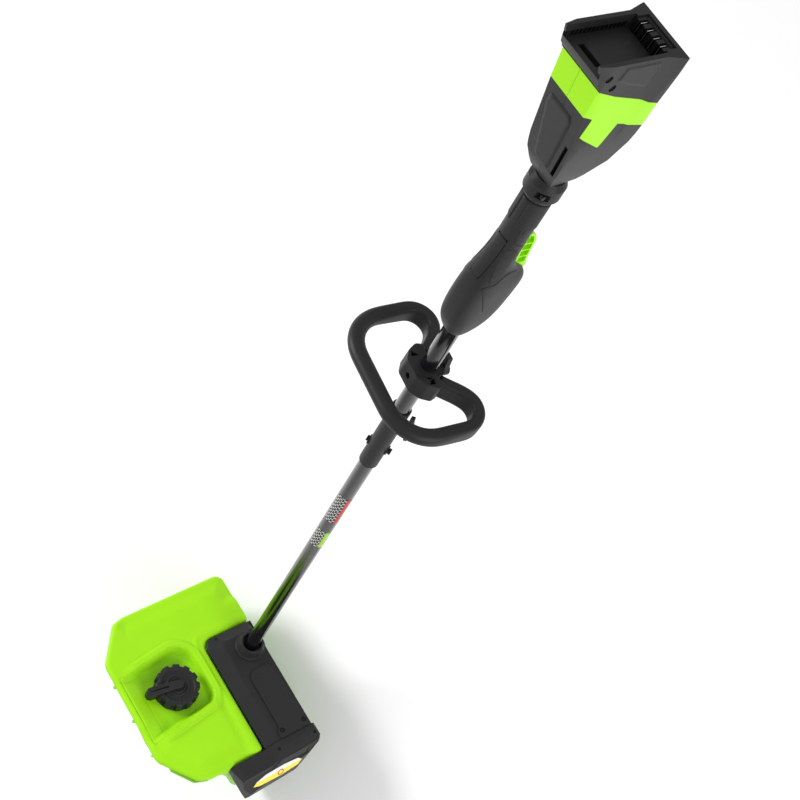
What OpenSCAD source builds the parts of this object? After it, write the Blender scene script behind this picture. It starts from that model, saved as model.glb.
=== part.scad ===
// Battery snow shovel. Millimetres, ground at z = 0, snow leaves toward -Y,
// the tube leans back toward +Y and the belt-drive end of the head is at +X.
// Most parts are drawn in the tool's own frame: z runs up the tube, -y is its
// upper front side, and z = 0 is the flat top of the drive housing.

/* [Stance] */
// Angle of the tube above the ground, degrees
tube_angle = 48; // [46:1:50]
// Turn of the loop handle about the tube, degrees
loop_turn = 7.7; // [0:0.1:15]
// Tilt of the loop handle toward the head, degrees
loop_tilt = 3.3; // [0:0.1:5]
// Turn of the vanes and their knob at rest, degrees
vane_turn = 5.5; // [0:0.5:8]

/* [Head] */
// Outside width of the hood
hood_w = 304; // [298:1:308]
// Rotor radius over the paddles
rotor_r = 56; // [52:0.5:57]
// Number of rotor paddles
paddles = 4; // [3:1:6]

/* [Tube and handles] */
// Outside diameter of the tube
tube_d = 22.2; // [21.8:0.1:22.2]
// Radius of the loop handle's bar
loop_bar_r = 10.5; // [9:0.5:11]
// Radius of the rear grip
grip_r = 16; // [15:0.5:16.5]

/* [Hidden] */
$fn = 48;
gap = 0.3;

// Head, in the tool's own frame
hood_x = 8.5;
hood_x0 = hood_x - hood_w / 2;
hood_x1 = hood_x + hood_w / 2;
wall = 3.5;
side_wall = 4;
roof_z = -12;
hood_back = 30;
lip_y = -226;
rotor_y = -33;
rotor_z = -142;
guide_r = 61;
ground_h = guide_r - rotor_z * sin(tube_angle) + rotor_y * cos(tube_angle);
base_y = -35 - rotor_y * sin(tube_angle) - rotor_z * cos(tube_angle);
chute_top = -42;
chute_wall = 3;

// Drive housing
house_x0 = -44;
house_x1 = 160;
house_back = 31;
house_front = -63;
house_flat = -40;
motor_y = -4;
motor_z = -39;
cap_x0 = 161;
cap_x1 = 208;
pulley_x = 168;
pulley_w = 10;
motor_pulley_r = 10;
rotor_pulley_r = 28;

// Vanes and knob
vane_y = -158;
vane_pitch = 64;
knob_x = 4;
knob_y = -139;
knob_r = 37.5;
knob_z0 = -26;
knob_h = 26;

// Along the tube
sleeve_z0 = 635;
sleeve_z1 = 768;
sleeve_r = 13.5;
sleeve_turn = 29;
loop_z = 852;
tube_z1 = 1048;
bulge_z0 = 953;
grip_z1 = 1196;
collar_z0 = 1197;
collar_z1 = 1230;
shell_z0 = 1231;
face_z = 1423;
face_tilt = 5.74;

// Puts a shape from the tool's own frame on the ground frame
module tool() {
  translate([0, base_y, ground_h])
    rotate([tube_angle - 90, 0, 0])
      children();
}

// A profile of (y, z) points pushed along X from x0 to x1
module side_prism(points, x0, x1) {
  translate([x0, 0, 0])
    rotate([90, 0, 90])
      linear_extrude(x1 - x0)
        polygon(points);
}

module x_cylinder(x0, x1, y, z, r) {
  translate([x0, y, z])
    rotate([0, 90, 0])
      cylinder(h = x1 - x0, r = r);
}

module y_cylinder(x, y0, y1, z, r) {
  translate([x, y0, z])
    rotate([-90, 0, 0])
      cylinder(h = y1 - y0, r = r);
}

module box(low, high) {
  translate(low)
    cube([high[0] - low[0], high[1] - low[1], high[2] - low[2]]);
}

// ---- Hood -------------------------------------------------------------

function hood_plan(inset) = [
  [hood_x0 + inset, hood_back], [hood_x0 + inset, -162], [hood_x0 + 7 + inset, -182],
  [hood_x - 88 + inset * 0.4, lip_y + inset], [hood_x + 88 - inset * 0.4, lip_y + inset],
  [hood_x1 - 7 - inset, -182], [hood_x1 - inset, -162], [hood_x1 - inset, hood_back]];

well_plan = [[-48, -207], [-60, -112], [-42, -89], [36, -89], [53, -94], [71, -207]];

// Point s ahead of the rotor's lowest point and h above the ground
function ground_point(s, h) = [
  rotor_y + guide_r * cos(tube_angle) - s * sin(tube_angle) - h * cos(tube_angle),
  rotor_z - guide_r * sin(tube_angle) - s * cos(tube_angle) + h * sin(tube_angle)];

side_profile = [[hood_back, roof_z], [-222, roof_z], [-222, -28], [-142, -28], [-124, -62],
  [-109, -100], [-93, -142], [-72, -184], ground_point(40, 8), ground_point(34, 2),
  ground_point(-20, 2), ground_point(-36, 12), [hood_back, -112]];

// Keeps the front rim leaning back under the lip
rim_profile = [[hood_back + 5, 0], [lip_y, 0], [lip_y, -15], [-218, -30], [-218, -230],
  [hood_back + 5, -230]];

module hood() {
  color([0.65, 0.92, 0.18])
    tool() {
      difference() {
        intersection() {
          translate([0, 0, -230])
            linear_extrude(230 + roof_z)
              polygon(hood_plan(0));
          side_prism(rim_profile, hood_x0 - 1, hood_x1 + 1);
          union() {
            box([hood_x0, lip_y, roof_z - wall], [hood_x1, hood_back, roof_z]);
            side_prism(side_profile, hood_x0, hood_x0 + side_wall);
            side_prism(side_profile, hood_x1 - side_wall, hood_x1);
            difference() {
              box([hood_x0, lip_y, -30], [hood_x1, -150, roof_z]);
              translate([0, 0, -40])
                linear_extrude(40 + roof_z - wall)
                  polygon(hood_plan(wall));
            }
            box([hood_x0, hood_back - wall, -46], [house_x0 - 1, hood_back, roof_z]);
          }
        }
        box([house_x0 - 0.5, house_front - 0.5, -77.5], [hood_x1 + 1, 34, 0]);
        translate([0, 0, -60])
          linear_extrude(60)
            polygon(well_plan);
        x_cylinder(hood_x0 - 1, hood_x0 + side_wall + 1, rotor_y, rotor_z, 9);
        x_cylinder(hood_x1 - side_wall - 1, hood_x1 + 1, rotor_y, rotor_z, 13.95);
      }
    }
}

// Sunk tray round the aiming knob
module well_tray() {
  floor_z = -30;
  color([0.55, 0.80, 0.14])
    tool()
      difference() {
        translate([0, 0, floor_z])
          linear_extrude(roof_z - floor_z)
            polygon([[-47.7, -206.6], [-59.6, -112], [-41.8, -89.4], [36, -89.4], [52.6, -94.3],
              [70.6, -206.6]]);
        translate([0, 0, floor_z + 3])
          linear_extrude(30)
            polygon([[-45, -204.3], [-56.5, -113], [-40.5, -92.4], [35.4, -92.4], [50.2, -96.5],
              [67.7, -204.3]]);
        translate([knob_x, knob_y, floor_z - 1])
          cylinder(h = 10, r = 6);
      }
}

// Curved wall behind the rotor, carried on as the ceiling the vanes hang from
module chute_guide() {
  foot = tube_angle - 25;
  color([0.60, 0.87, 0.16])
    tool()
      difference() {
        union() {
          translate([hood_x0 + side_wall + gap, rotor_y, rotor_z])
            rotate([90, 0, 90])
              linear_extrude(hood_w - 2 * side_wall - 2 * gap)
                difference() {
                  circle(r = guide_r + chute_wall, $fn = 96);
                  circle(r = guide_r, $fn = 96);
                  polygon([[0, 0], [0, 200], [-200, 200], [-200, -200], [0, -200],
                    [200 * cos(foot), -200 * sin(foot)]]);
                }
          side_prism([[rotor_y, rotor_z + guide_r], [rotor_y, rotor_z + guide_r + chute_wall],
            [-110, chute_top], [-206, chute_top], [-206, chute_top - chute_wall],
            [-110.8, chute_top - chute_wall]], hood_x0 + side_wall + gap,
            hood_x1 - side_wall - gap);
        }
        difference() {
          box([hood_x0 - 1, -230, chute_top - 10], [hood_x1 + 1, -150, chute_top + 5]);
          translate([0, 0, chute_top - 12])
            linear_extrude(30)
              polygon(hood_plan(side_wall + gap));
        }
        for (i = [-1:1])
          translate([hood_x + i * vane_pitch, vane_y, chute_top - 10])
            cylinder(h = 20, r = 3.05);
        translate([knob_x, knob_y, chute_top - 10])
          cylinder(h = 20, r = 3.05);
      }
}

// Flat wear bar that rests on the ground behind the rotor
module scraper() {
  color([0.16, 0.16, 0.17])
    difference() {
      box([hood_x0 + 5, -9, 0], [hood_x1 - 5, 9, 8.6]);
      translate([0, base_y, ground_h])
        rotate([tube_angle - 90, 0, 0])
          x_cylinder(hood_x0, hood_x1, rotor_y, rotor_z, guide_r + chute_wall + 0.05);
    }
}

module bearing_cap() {
  color([0.14, 0.14, 0.15])
    tool()
      difference() {
        union() {
          x_cylinder(hood_x0 - 4, hood_x0 - 0.05, rotor_y, rotor_z, 24);
          x_cylinder(hood_x0 - 8, hood_x0 - 3.9, rotor_y, rotor_z, 17);
        }
        x_cylinder(hood_x0 - 5, hood_x0 + 1, rotor_y, rotor_z, 6.5);
        for (a = [45:90:315])
          x_cylinder(hood_x0 - 9, hood_x0 - 2.5, rotor_y + 20.5 * cos(a), rotor_z + 20.5 * sin(a), 2);
      }
}

// Wear shoe under the free end of the hood
module skid_left() {
  color([0.14, 0.14, 0.15])
    tool()
      difference() {
        side_prism([ground_point(42, 2), ground_point(34, 0.5), ground_point(-24, 0.5),
          ground_point(-32, 5), ground_point(-26, 14), ground_point(42, 14)],
          hood_x0 - 3, hood_x0 - 0.05);
        for (s = [-18, 32])
          x_cylinder(hood_x0 - 5, hood_x0 - 1.5, ground_point(s, 8)[0], ground_point(s, 8)[1], 2.2);
      }
}

// ---- Rotor ------------------------------------------------------------

module rotor_shaft() {
  color([0.55, 0.56, 0.58])
    tool()
      x_cylinder(hood_x0 - 3, pulley_x + pulley_w + 4, rotor_y, rotor_z, 6);
}

module rotor_hub() {
  color([0.13, 0.13, 0.14])
    tool()
      difference() {
        union() {
          x_cylinder(hood_x0 + 8, hood_x1 - 8, rotor_y, rotor_z, 15);
          for (x = [hood_x0 + 10, hood_x - 2, hood_x1 - 14])
            x_cylinder(x, x + 4, rotor_y, rotor_z, 30);
        }
        x_cylinder(hood_x0, hood_x1, rotor_y, rotor_z, 6);
        for (i = [0:paddles - 1])
          translate([0, rotor_y, rotor_z])
            rotate([i * 360 / paddles, 0, 0])
              box([hood_x0, 11.95, -2.55], [hood_x1, 34, 2.55]);
      }
}

paddle_profile = [[12, -2.5], [rotor_r - 9, -2.5], [rotor_r - 1, -6.5], [rotor_r - 0.2, -2],
  [rotor_r - 8, 2.5], [12, 2.5]];

module rotor_paddle_set() {
  color([0.10, 0.10, 0.10])
    tool()
      for (i = [0:paddles - 1])
        translate([0, rotor_y, rotor_z])
          rotate([i * 360 / paddles, 0, 0])
            side_prism(paddle_profile, hood_x0 + 8, hood_x1 - 8);
}

module shaft_bearings() {
  color([0.62, 0.63, 0.65])
    tool()
      difference() {
        union() {
          x_cylinder(hood_x0 + 0.1, hood_x0 + side_wall + 2.5, rotor_y, rotor_z, 8.9);
          x_cylinder(hood_x1 - 6, hood_x1 + 2, rotor_y, rotor_z, 13.9);
        }
        x_cylinder(hood_x0 - 1, hood_x1 + 5, rotor_y, rotor_z, 6.06);
      }
}

// ---- Belt drive and motor ---------------------------------------------

module rotor_pulley() {
  color([0.20, 0.20, 0.21])
    tool()
      difference() {
        union() {
          x_cylinder(pulley_x, pulley_x + pulley_w, rotor_y, rotor_z, rotor_pulley_r);
          x_cylinder(pulley_x - 1.5, pulley_x, rotor_y, rotor_z, rotor_pulley_r + 2);
          x_cylinder(pulley_x + pulley_w, pulley_x + pulley_w + 1.5, rotor_y, rotor_z,
            rotor_pulley_r + 2);
        }
        x_cylinder(pulley_x - 5, pulley_x + 20, rotor_y, rotor_z, 6);
        for (a = [0:72:288])
          x_cylinder(pulley_x - 5, pulley_x + 20, rotor_y + 17 * cos(a), rotor_z + 17 * sin(a), 5);
      }
}

module motor_pulley() {
  color([0.62, 0.63, 0.65])
    tool()
      difference() {
        x_cylinder(pulley_x, pulley_x + pulley_w, motor_y, motor_z, motor_pulley_r);
        x_cylinder(pulley_x - 5, pulley_x + 20, motor_y, motor_z, 4);
      }
}

belt_run = sqrt(pow(rotor_y - motor_y, 2) + pow(rotor_z - motor_z, 2));
belt_angle = atan2(rotor_z - motor_z, rotor_y - motor_y);
belt_wrap = asin((rotor_pulley_r - motor_pulley_r) / belt_run);

// Belt round one pulley, kept on the side away from the other
module belt_turn(r, side) {
  a = 90 + belt_wrap - 2 * side;
  difference() {
    circle(r = r + 2.4);
    circle(r = r + 0.3);
    polygon([[0, 0], [60 * cos(a), 60 * sin(a)], [side * 90, 0], [60 * cos(a), -60 * sin(a)]]);
  }
}

// Straight run of the belt, side = 1 or -1
module belt_straight(side) {
  c = cos(90 + belt_wrap);
  t = side * sin(90 + belt_wrap);
  r1 = motor_pulley_r;
  r2 = rotor_pulley_r;
  polygon([[(r1 + 0.2) * c, (r1 + 0.2) * t], [belt_run + (r2 + 0.2) * c, (r2 + 0.2) * t],
    [belt_run + (r2 + 2.6) * c, (r2 + 2.6) * t], [(r1 + 2.6) * c, (r1 + 2.6) * t]]);
}

module drive_belt() {
  color([0.07, 0.07, 0.07])
    tool()
      translate([pulley_x + 1, motor_y, motor_z])
        rotate([90, 0, 90])
          rotate([0, 0, belt_angle])
            linear_extrude(pulley_w - 2) {
              belt_turn(motor_pulley_r, 1);
              translate([belt_run, 0])
                belt_turn(rotor_pulley_r, -1);
              belt_straight(1);
              belt_straight(-1);
            }
}

module motor_case() {
  color([0.35, 0.36, 0.38])
    tool()
      difference() {
        union() {
          x_cylinder(30, 128, motor_y, motor_z, 25);
          x_cylinder(24, 30, motor_y, motor_z, 18);
          x_cylinder(128, 150, motor_y, motor_z, 12);
        }
        x_cylinder(20, 155, motor_y, motor_z, 4.06);
        for (a = [0:30:330])
          x_cylinder(120, 130, motor_y + 18 * cos(a), motor_z + 18 * sin(a), 2.5);
      }
}

module motor_shaft() {
  color([0.60, 0.61, 0.63])
    tool()
      x_cylinder(26, pulley_x + pulley_w + 2, motor_y, motor_z, 4);
}

// ---- Drive housing ----------------------------------------------------

module drive_housing() {
  color([0.20, 0.20, 0.21])
    tool()
      difference() {
        side_prism([[house_back, -14.2], [-37, -14.2], [-36, -74], [-26, -76.5], [26, -75],
          [house_back, -70]], house_x0, house_x1);
        side_prism([[house_back - 3, -10], [-34, -10], [-33, -71], [-25, -73], [25, -72],
          [house_back - 3, -68]], house_x0 + 3, house_x1 - 3);
        x_cylinder(house_x1 - 5, house_x1 + 1, motor_y, motor_z, 10);
      }
}

// Raised cover with a sloping band on its front and free end
module housing_cover() {
  color([0.24, 0.24, 0.25])
    tool()
      difference() {
        intersection() {
          side_prism([[house_back, -14], [house_front, -14], [house_front, -11.5],
            [house_flat, 0], [26, 0], [house_back, -4]], house_x0, house_x1);
          translate([0, 50, 0])
            rotate([90, 0, 0])
              linear_extrude(120)
                polygon([[house_x0, -14], [house_x0, -10.5], [-27, 0], [house_x1, 0],
                  [house_x1, -14]]);
        }
        side_prism([[house_back - 3, -15], [-56, -15], [-39, -3.5], [25, -3.5],
          [house_back - 3, -6]], house_x0 + 12, house_x1 - 3);
        translate([0, 0, -20])
          cylinder(h = 30, r = 21);
        box([28, -33, -1.6], [154, 26, 1]);
        for (p = [[-38, 25], [-38, -42]])
          translate([p[0], p[1], -12])
            cylinder(h = 12, r = 2.6);
      }
}

module cover_plate() {
  color([0.22, 0.22, 0.23])
    tool()
      difference() {
        union() {
          box([28.3, -32.7, -1.5], [153.7, 25.7, 0]);
          box([48, -24, -0.1], [136, 16, 0.8]);
        }
        for (p = [[149, 15.5], [149, -26.5]])
          translate([p[0], p[1], -5])
            cylinder(h = 10, r = 1.7);
      }
}

end_profile = [[house_back, -6], [26, 0], [-42, 0], [-64, -12], [-116, -14], [-126, -22],
  [-124, -42], [-97, -104], [-82, -142], [-60, -170], [-33, -180], [-8, -174], [9, -146],
  [20, -86], [house_back, -70]];

end_inner = [[27, -8], [24, -4], [-41, -4], [-62, -16], [-114, -18], [-121.5, -24],
  [-120, -42], [-93, -105], [-78, -142], [-57, -167], [-33, -176], [-11, -171], [5, -146],
  [16, -86], [27, -67]];

end_plan = [[cap_x0, 0], [172, 0], [188, -8], [193, -22], [cap_x1 - 1, -46],
  [cap_x1, -60], [199, -104], [187, -150], [185, -181], [cap_x0, -181]];

// Outline of the end cap seen down the tube
end_outline = [[cap_x0 - 1, 30.4], [182, 30.4], [190, 25], [196, 10], [cap_x1, -108], [199, -119],
  [cap_x0 - 1, -127]];

end_plan_inner = [[cap_x0 - 2, -4], [171, -4], [184.5, -10.5], [189, -23.5],
  [cap_x1 - 5, -47], [cap_x1 - 4, -60], [195, -103], [183, -150], [181, -178],
  [cap_x0 - 2, -178]];

module end_cap() {
  color([0.22, 0.22, 0.23])
    tool()
      difference() {
        intersection() {
          side_prism(end_profile, cap_x0, cap_x1);
          translate([0, 60, 0])
            rotate([90, 0, 0])
              linear_extrude(240)
                polygon(end_plan);
          translate([0, 0, -190])
            linear_extrude(200)
              polygon(end_outline);
        }
        intersection() {
          side_prism(end_inner, cap_x0 - 1, cap_x1 - 4);
          translate([0, 60, 0])
            rotate([90, 0, 0])
              linear_extrude(240)
                polygon(end_plan_inner);
          translate([-4, 0, -190])
            linear_extrude(200)
              polygon(end_outline);
        }
        for (i = [0:4])
          translate([190.5 + i * 2.1, -66, -17 - i * 4.2])
            box([-1, 0, -0.8], [6, 72, 0.8]);
        for (p = [[175.5, 22], [173, -46]])
          translate([p[0], p[1], -6])
            cylinder(h = 10, r = 2.6);
      }
}

// Plain sticker on the sloping end face
module end_cap_label() {
  color([0.93, 0.85, 0.25])
    tool()
      translate([193, 0, -22])
        rotate([0, 59.74, 0])
          translate([0, 0, 0.03])
            linear_extrude(0.3)
              polygon([[12, -8], [5, -16], [2.5, -44], [4, -78], [10, -96], [17, -103],
                [21.5, -90], [22.5, -50], [19, -16]]);
}

module tube_boss() {
  color([0.22, 0.22, 0.23])
    tool()
      difference() {
        union() {
          translate([0, 0, -14])
            cylinder(h = 14.1, r = 20.9);
          cylinder(h = 3, r = 26);
          translate([0, 0, 3])
            cylinder(h = 15, r1 = 24, r2 = 19.4);
        }
        translate([0, 0, 6])
          cylinder(h = 20, r = 15.5);
        translate([0, 0, -20])
          cylinder(h = 50, r = tube_d / 2);
      }
}

module housing_screws() {
  color([0.10, 0.10, 0.10])
    tool() {
      for (p = [[-38, 25], [-38, -42]])
        translate([p[0], p[1], -12])
          difference() {
            cylinder(h = 3, r = 2.55);
            translate([0, 0, 2])
              cylinder(h = 2, r = 1.2);
          }
      for (p = [[175.5, 22], [173, -46]])
        translate([p[0], p[1], -6])
          difference() {
            cylinder(h = 3, r = 2.55);
            translate([0, 0, 2])
              cylinder(h = 2, r = 1.2);
          }
    }
}

module cover_screws() {
  color([0.10, 0.10, 0.10])
    tool()
      for (p = [[149, 15.5], [149, -26.5]])
        translate([p[0], p[1], 0])
          difference() {
            union() {
              translate([0, 0, -1.5])
                cylinder(h = 1.6, r = 1.65);
              cylinder(h = 1.4, r = 3);
            }
            translate([0, 0, 0.6])
              cylinder(h = 2, r = 1.2);
          }
}

// ---- Vanes and aiming knob --------------------------------------------

crank_r = 34;

// Bent crank that reaches round the knob's spindle to the tie bar
vane_crank = [[-3, -4], [3, -4], [14, 10], [14, 26], [3, 38], [-3, 38], [-3, 30], [1, 30],
  [8, 22], [8, 14], [0, 4], [-3, 4]];

// One vane, hanging under the ceiling and turned about its own pin
module vane(x) {
  translate([x, vane_y, 0])
    rotate([0, 0, vane_turn]) {
      rotate([90, 0, 90])
        translate([0, 0, -1.6])
          linear_extrude(3.2)
            polygon([[10, -45.5], [-56, -45.5], [-61, -48], [-61, -54], [-42, -76], [2, -76],
              [10, -66]]);
      translate([0, 0, -46])
        cylinder(h = 9.4, r = 3);
      translate([0, 0, -38.6])
        linear_extrude(2)
          polygon(vane_crank);
      translate([0, crank_r, -38])
        cylinder(h = 3.7, r = 1.6);
    }
}

module vane_left() {
  color([0.62, 0.88, 0.20])
    tool()
      vane(hood_x - vane_pitch);
}

module vane_middle() {
  color([0.62, 0.88, 0.20])
    tool()
      vane(hood_x);
}

module vane_right() {
  color([0.62, 0.88, 0.20])
    tool()
      vane(hood_x + vane_pitch);
}

module vane_tie_bar() {
  tie_x = -crank_r * sin(vane_turn);
  tie_y = crank_r * cos(vane_turn);
  color([0.30, 0.30, 0.31])
    tool()
      difference() {
        union() {
          box([hood_x - vane_pitch - 5 + tie_x, vane_y + tie_y - 3.5, -36.3],
              [hood_x + vane_pitch + 5 + tie_x, vane_y + tie_y + 3.5, -34.3]);
          box([knob_x + tie_x - 5, vane_y + tie_y, -36.3],
              [knob_x + tie_x + 5, knob_y + tie_y + 5, -34.3]);
        }
        for (i = [-1:1])
          translate([hood_x + i * vane_pitch + tie_x, vane_y + tie_y, -40])
            cylinder(h = 10, r = 1.9);
        translate([knob_x + tie_x, knob_y + tie_y, -40])
          cylinder(h = 10, r = 1.9);
      }
}

module aim_knob() {
  color([0.10, 0.10, 0.11])
    tool()
      translate([knob_x, knob_y, knob_z0])
        rotate([0, 0, vane_turn])
          difference() {
            union() {
              cylinder(h = 14, r = knob_r);
              translate([0, 0, 14])
                cylinder(h = 7, r = knob_r - 6);
              box([-6.5, -54, 6], [6.5, 7, knob_h]);
            }
            for (a = [30:30:330])
              rotate([0, 0, a - 90])
                translate([knob_r + 3, 0, 3])
                  cylinder(h = 20, r = 5);
            translate([0, 0, -1])
              cylinder(h = 12, r = 3);
          }
}

module knob_spindle() {
  color([0.55, 0.56, 0.58])
    tool()
      translate([knob_x, knob_y, 0])
        rotate([0, 0, vane_turn]) {
          translate([0, 0, chute_top - 2])
            cylinder(h = knob_z0 + 11 - chute_top, r = 3);
          translate([0, 0, -34])
            linear_extrude(2)
              polygon([[-4, -4], [4, -4], [3, crank_r + 4], [-3, crank_r + 4]]);
          translate([0, crank_r, -36.1])
            cylinder(h = 3, r = 1.6);
        }
}

// ---- Tube and sleeve --------------------------------------------------

module lower_tube() {
  color([0.06, 0.06, 0.065])
    tool()
      difference() {
        translate([0, 0, -13.9])
          cylinder(h = 700 + 13.9, r = tube_d / 2);
        translate([0, 0, -20])
          cylinder(h = 760, r = tube_d / 2 - 1.6);
        rotate([0, 0, sleeve_turn])
          x_cylinder(-20, 20, 0, 675, 2.55);
      }
}

module tube_label(z0, z1) {
  rotate([0, 0, -58])
    rotate_extrude(angle = 120)
      polygon([[tube_d / 2 + 0.02, z0], [tube_d / 2 + 0.3, z0], [tube_d / 2 + 0.3, z1],
        [tube_d / 2 + 0.02, z1]]);
}

module tube_label_upper() {
  color([0.85, 0.85, 0.83])
    tool()
      rotate([0, 0, -60])
        tube_label(470, 540);
}

module tube_label_lower() {
  color([0.85, 0.85, 0.83])
    tool()
      rotate([0, 0, -60])
        tube_label(395, 440);
}

module sleeve() {
  color([0.10, 0.10, 0.10])
    tool()
      difference() {
        union() {
          translate([0, 0, sleeve_z0])
            cylinder(h = sleeve_z1 - sleeve_z0, r = sleeve_r);
          rotate([0, 0, sleeve_turn])
            x_cylinder(-sleeve_r - 1.5, sleeve_r + 1.5, 0, 675, 7);
          rotate([0, 0, sleeve_turn])
            x_cylinder(sleeve_r - 4, sleeve_r + 2, 0, 740, 8);
        }
        translate([0, 0, sleeve_z0 - 1])
          cylinder(h = sleeve_z1 - sleeve_z0 + 2, r = tube_d / 2 + 0.05);
        rotate([0, 0, sleeve_turn])
          x_cylinder(5, 30, 0, 740, 3.06);
        rotate([0, 0, sleeve_turn])
          x_cylinder(-30, 30, 0, 675, 2.6);
      }
}

// Cross bolt through sleeve and tube
module sleeve_bolt() {
  color([0.35, 0.35, 0.36])
    tool()
      rotate([0, 0, sleeve_turn]) {
        x_cylinder(-sleeve_r - 3, sleeve_r + 3, 0, 675, 2.5);
        x_cylinder(-sleeve_r - 4.4, -sleeve_r - 1.6, 0, 675, 4.2);
        difference() {
          x_cylinder(sleeve_r + 1.6, sleeve_r + 5.6, 0, 675, 4.5);
          x_cylinder(sleeve_r + 3.6, sleeve_r + 7, 0, 675, 2.2);
        }
      }
}

// Wing knob that locks the two tubes
module sleeve_knob() {
  color([0.10, 0.10, 0.10])
    tool()
      rotate([0, 0, sleeve_turn]) {
        x_cylinder(tube_d / 2 + 0.3, sleeve_r + 4, 0, 740, 3);
        x_cylinder(sleeve_r + 2.3, sleeve_r + 9, 0, 740, 7);
        translate([0, 2.5, 0])
          rotate([90, 0, 0])
            linear_extrude(5)
              polygon([[sleeve_r + 4, 738], [sleeve_r + 3, 762], [sleeve_r + 8, 764],
                [sleeve_r + 12, 744], [sleeve_r + 14, 716], [sleeve_r + 10, 714]]);
      }
}

module upper_tube() {
  color([0.06, 0.06, 0.065])
    tool()
      difference() {
        translate([0, 0, 701])
          cylinder(h = tube_z1 - 701, r = tube_d / 2);
        translate([0, 0, 690])
          cylinder(h = 500, r = tube_d / 2 - 1.6);
        rotate([0, 0, sleeve_turn])
          x_cylinder(0, 20, 0, 740, 3.1);
      }
}

// ---- Loop handle ------------------------------------------------------

side_x = 88.5;
bar_w = 74.5;
front_r = 50;
rear_r = 26;
rear_w = -14;

// Frame of the loop handle: x along its bar, y toward the front, z up the tube
module loop_frame() {
  tool()
    translate([0, 0, loop_z])
      rotate([0, 0, -loop_turn])
        rotate([-loop_tilt, 0, 0])
          mirror([0, 1, 0])
            children();
}

module rod(p, q, r) {
  d = [q[0] - p[0], q[1] - p[1]];
  translate([p[0], p[1], 0])
    rotate([0, 0, atan2(d[1], d[0])])
      rotate([0, 90, 0])
        cylinder(h = norm(d), r = r);
}

module bend(c, big, small, from, sweep) {
  translate([c[0], c[1], 0])
    rotate([0, 0, from])
      rotate_extrude(angle = sweep)
        translate([big, 0])
          circle(r = small);
}

rear_c = side_x - rear_r;
rear_end = [rear_c + rear_r * cos(-127), rear_w + rear_r * sin(-127)];

module loop_bar() {
  color([0.20, 0.20, 0.21])
    loop_frame() {
      rod([-side_x + front_r, bar_w], [side_x - front_r, bar_w], loop_bar_r);
      bend([side_x - front_r, bar_w - front_r], front_r, loop_bar_r, 0, 90);
      bend([-side_x + front_r, bar_w - front_r], front_r, loop_bar_r, 90, 90);
      rod([side_x, rear_w], [side_x, bar_w - front_r], loop_bar_r);
      rod([-side_x, rear_w], [-side_x, bar_w - front_r], loop_bar_r);
      bend([rear_c, rear_w], rear_r, loop_bar_r, -130, 130);
      bend([-rear_c, rear_w], rear_r, loop_bar_r, 180, 130);
      rod(rear_end, [26, -10], loop_bar_r);
      rod([-rear_end[0], rear_end[1]], [-26, -10], loop_bar_r);
      for (s = [-1, 1]) {
        translate([s * (side_x - front_r), bar_w, 0])
          sphere(r = loop_bar_r + 0.6);
        translate([s * side_x, bar_w - front_r, 0])
          sphere(r = loop_bar_r + 0.6);
        translate([s * side_x, rear_w, 0])
          sphere(r = loop_bar_r + 0.6);
        translate([s * rear_end[0], rear_end[1], 0])
          sphere(r = loop_bar_r + 0.6);
      }
    }
}

module clamp_body() {
  color([0.20, 0.20, 0.21])
    loop_frame()
      difference() {
        translate([0, 0, -15])
          linear_extrude(30)
            polygon([[-30, -8], [-33, 4], [-24, 18], [-12, 26], [12, 26], [24, 18], [33, 4],
              [30, -8], [10, -1], [-10, -1]]);
        rotate([-loop_tilt, 0, 0])
          translate([0, 0, -40])
            cylinder(h = 80, r = tube_d / 2 + 0.04);
        for (s = [-1, 1])
          translate([0, 0, 4])
            linear_extrude(20)
              polygon([[s * 15, 16], [s * 27, 4], [s * 16, 3]]);
        translate([0, 20, 0])
          rotate([-90, 0, 0])
            cylinder(h = 10, r = 3.2);
        loop_clear();
      }
}

// Space the arms of the loop take out of the clamp body
module loop_clear() {
  for (s = [-1, 1]) {
    rod([s * rear_end[0], rear_end[1]], [s * 26, -10], loop_bar_r + 0.02);
    rod([s * rear_end[0], rear_end[1]], [s * (rear_end[0] + 10), rear_end[1] - 8], 14);
  }
}

module clamp_jaw() {
  color([0.18, 0.18, 0.19])
    loop_frame()
      difference() {
        translate([0, 0, -11])
          linear_extrude(22)
            polygon([[-14, -2.6], [-14, -16], [-8, -20], [8, -20], [14, -16], [14, -2.6]]);
        rotate([-loop_tilt, 0, 0])
          translate([0, 0, -40])
            cylinder(h = 80, r = tube_d / 2 + 0.04);
        loop_clear();
        rotate([90, 0, 0])
          cylinder(h = 40, r = 3.06);
      }
}

module clamp_bolt() {
  color([0.45, 0.46, 0.48])
    loop_frame() {
      translate([0, -11.3, 0])
        rotate([90, 0, 0])
          cylinder(h = 18, r = 3);
    }
}

// Wing lever that tightens the clamp
module clamp_wing() {
  color([0.14, 0.14, 0.15])
    loop_frame()
      difference() {
        union() {
          translate([0, -20.3, 0])
            rotate([90, 0, 0])
              cylinder(h = 11, r = 9);
          translate([0, -20.3, 0])
            rotate([90, 0, 0])
              linear_extrude(7)
                polygon([[-9, 0], [-6, 26], [4, 26], [9, 0]]);
        }
        translate([0, -10, 0])
          rotate([90, 0, 0])
            cylinder(h = 19.6, r = 3.06);
      }
}

// ---- Rear handle and trigger ------------------------------------------

handle_side = [[-12, 953], [-22, 966], [-28, 984], [-30, 1025], [-28, 1060], [-21, 1085],
  [-16, 1110], [-15, 1120], [15, 1120], [16, 1075], [26, 1062], [38, 1058], [50, 1046],
  [44, 1015], [36, 972], [10, 957]];

handle_front = [[-14, 953], [-20, 975], [-22, 1000], [-22, 1050], [-17, 1085], [-16, 1120],
  [16, 1120], [17, 1085], [22, 1050], [22, 1000], [20, 975], [14, 953]];

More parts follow.
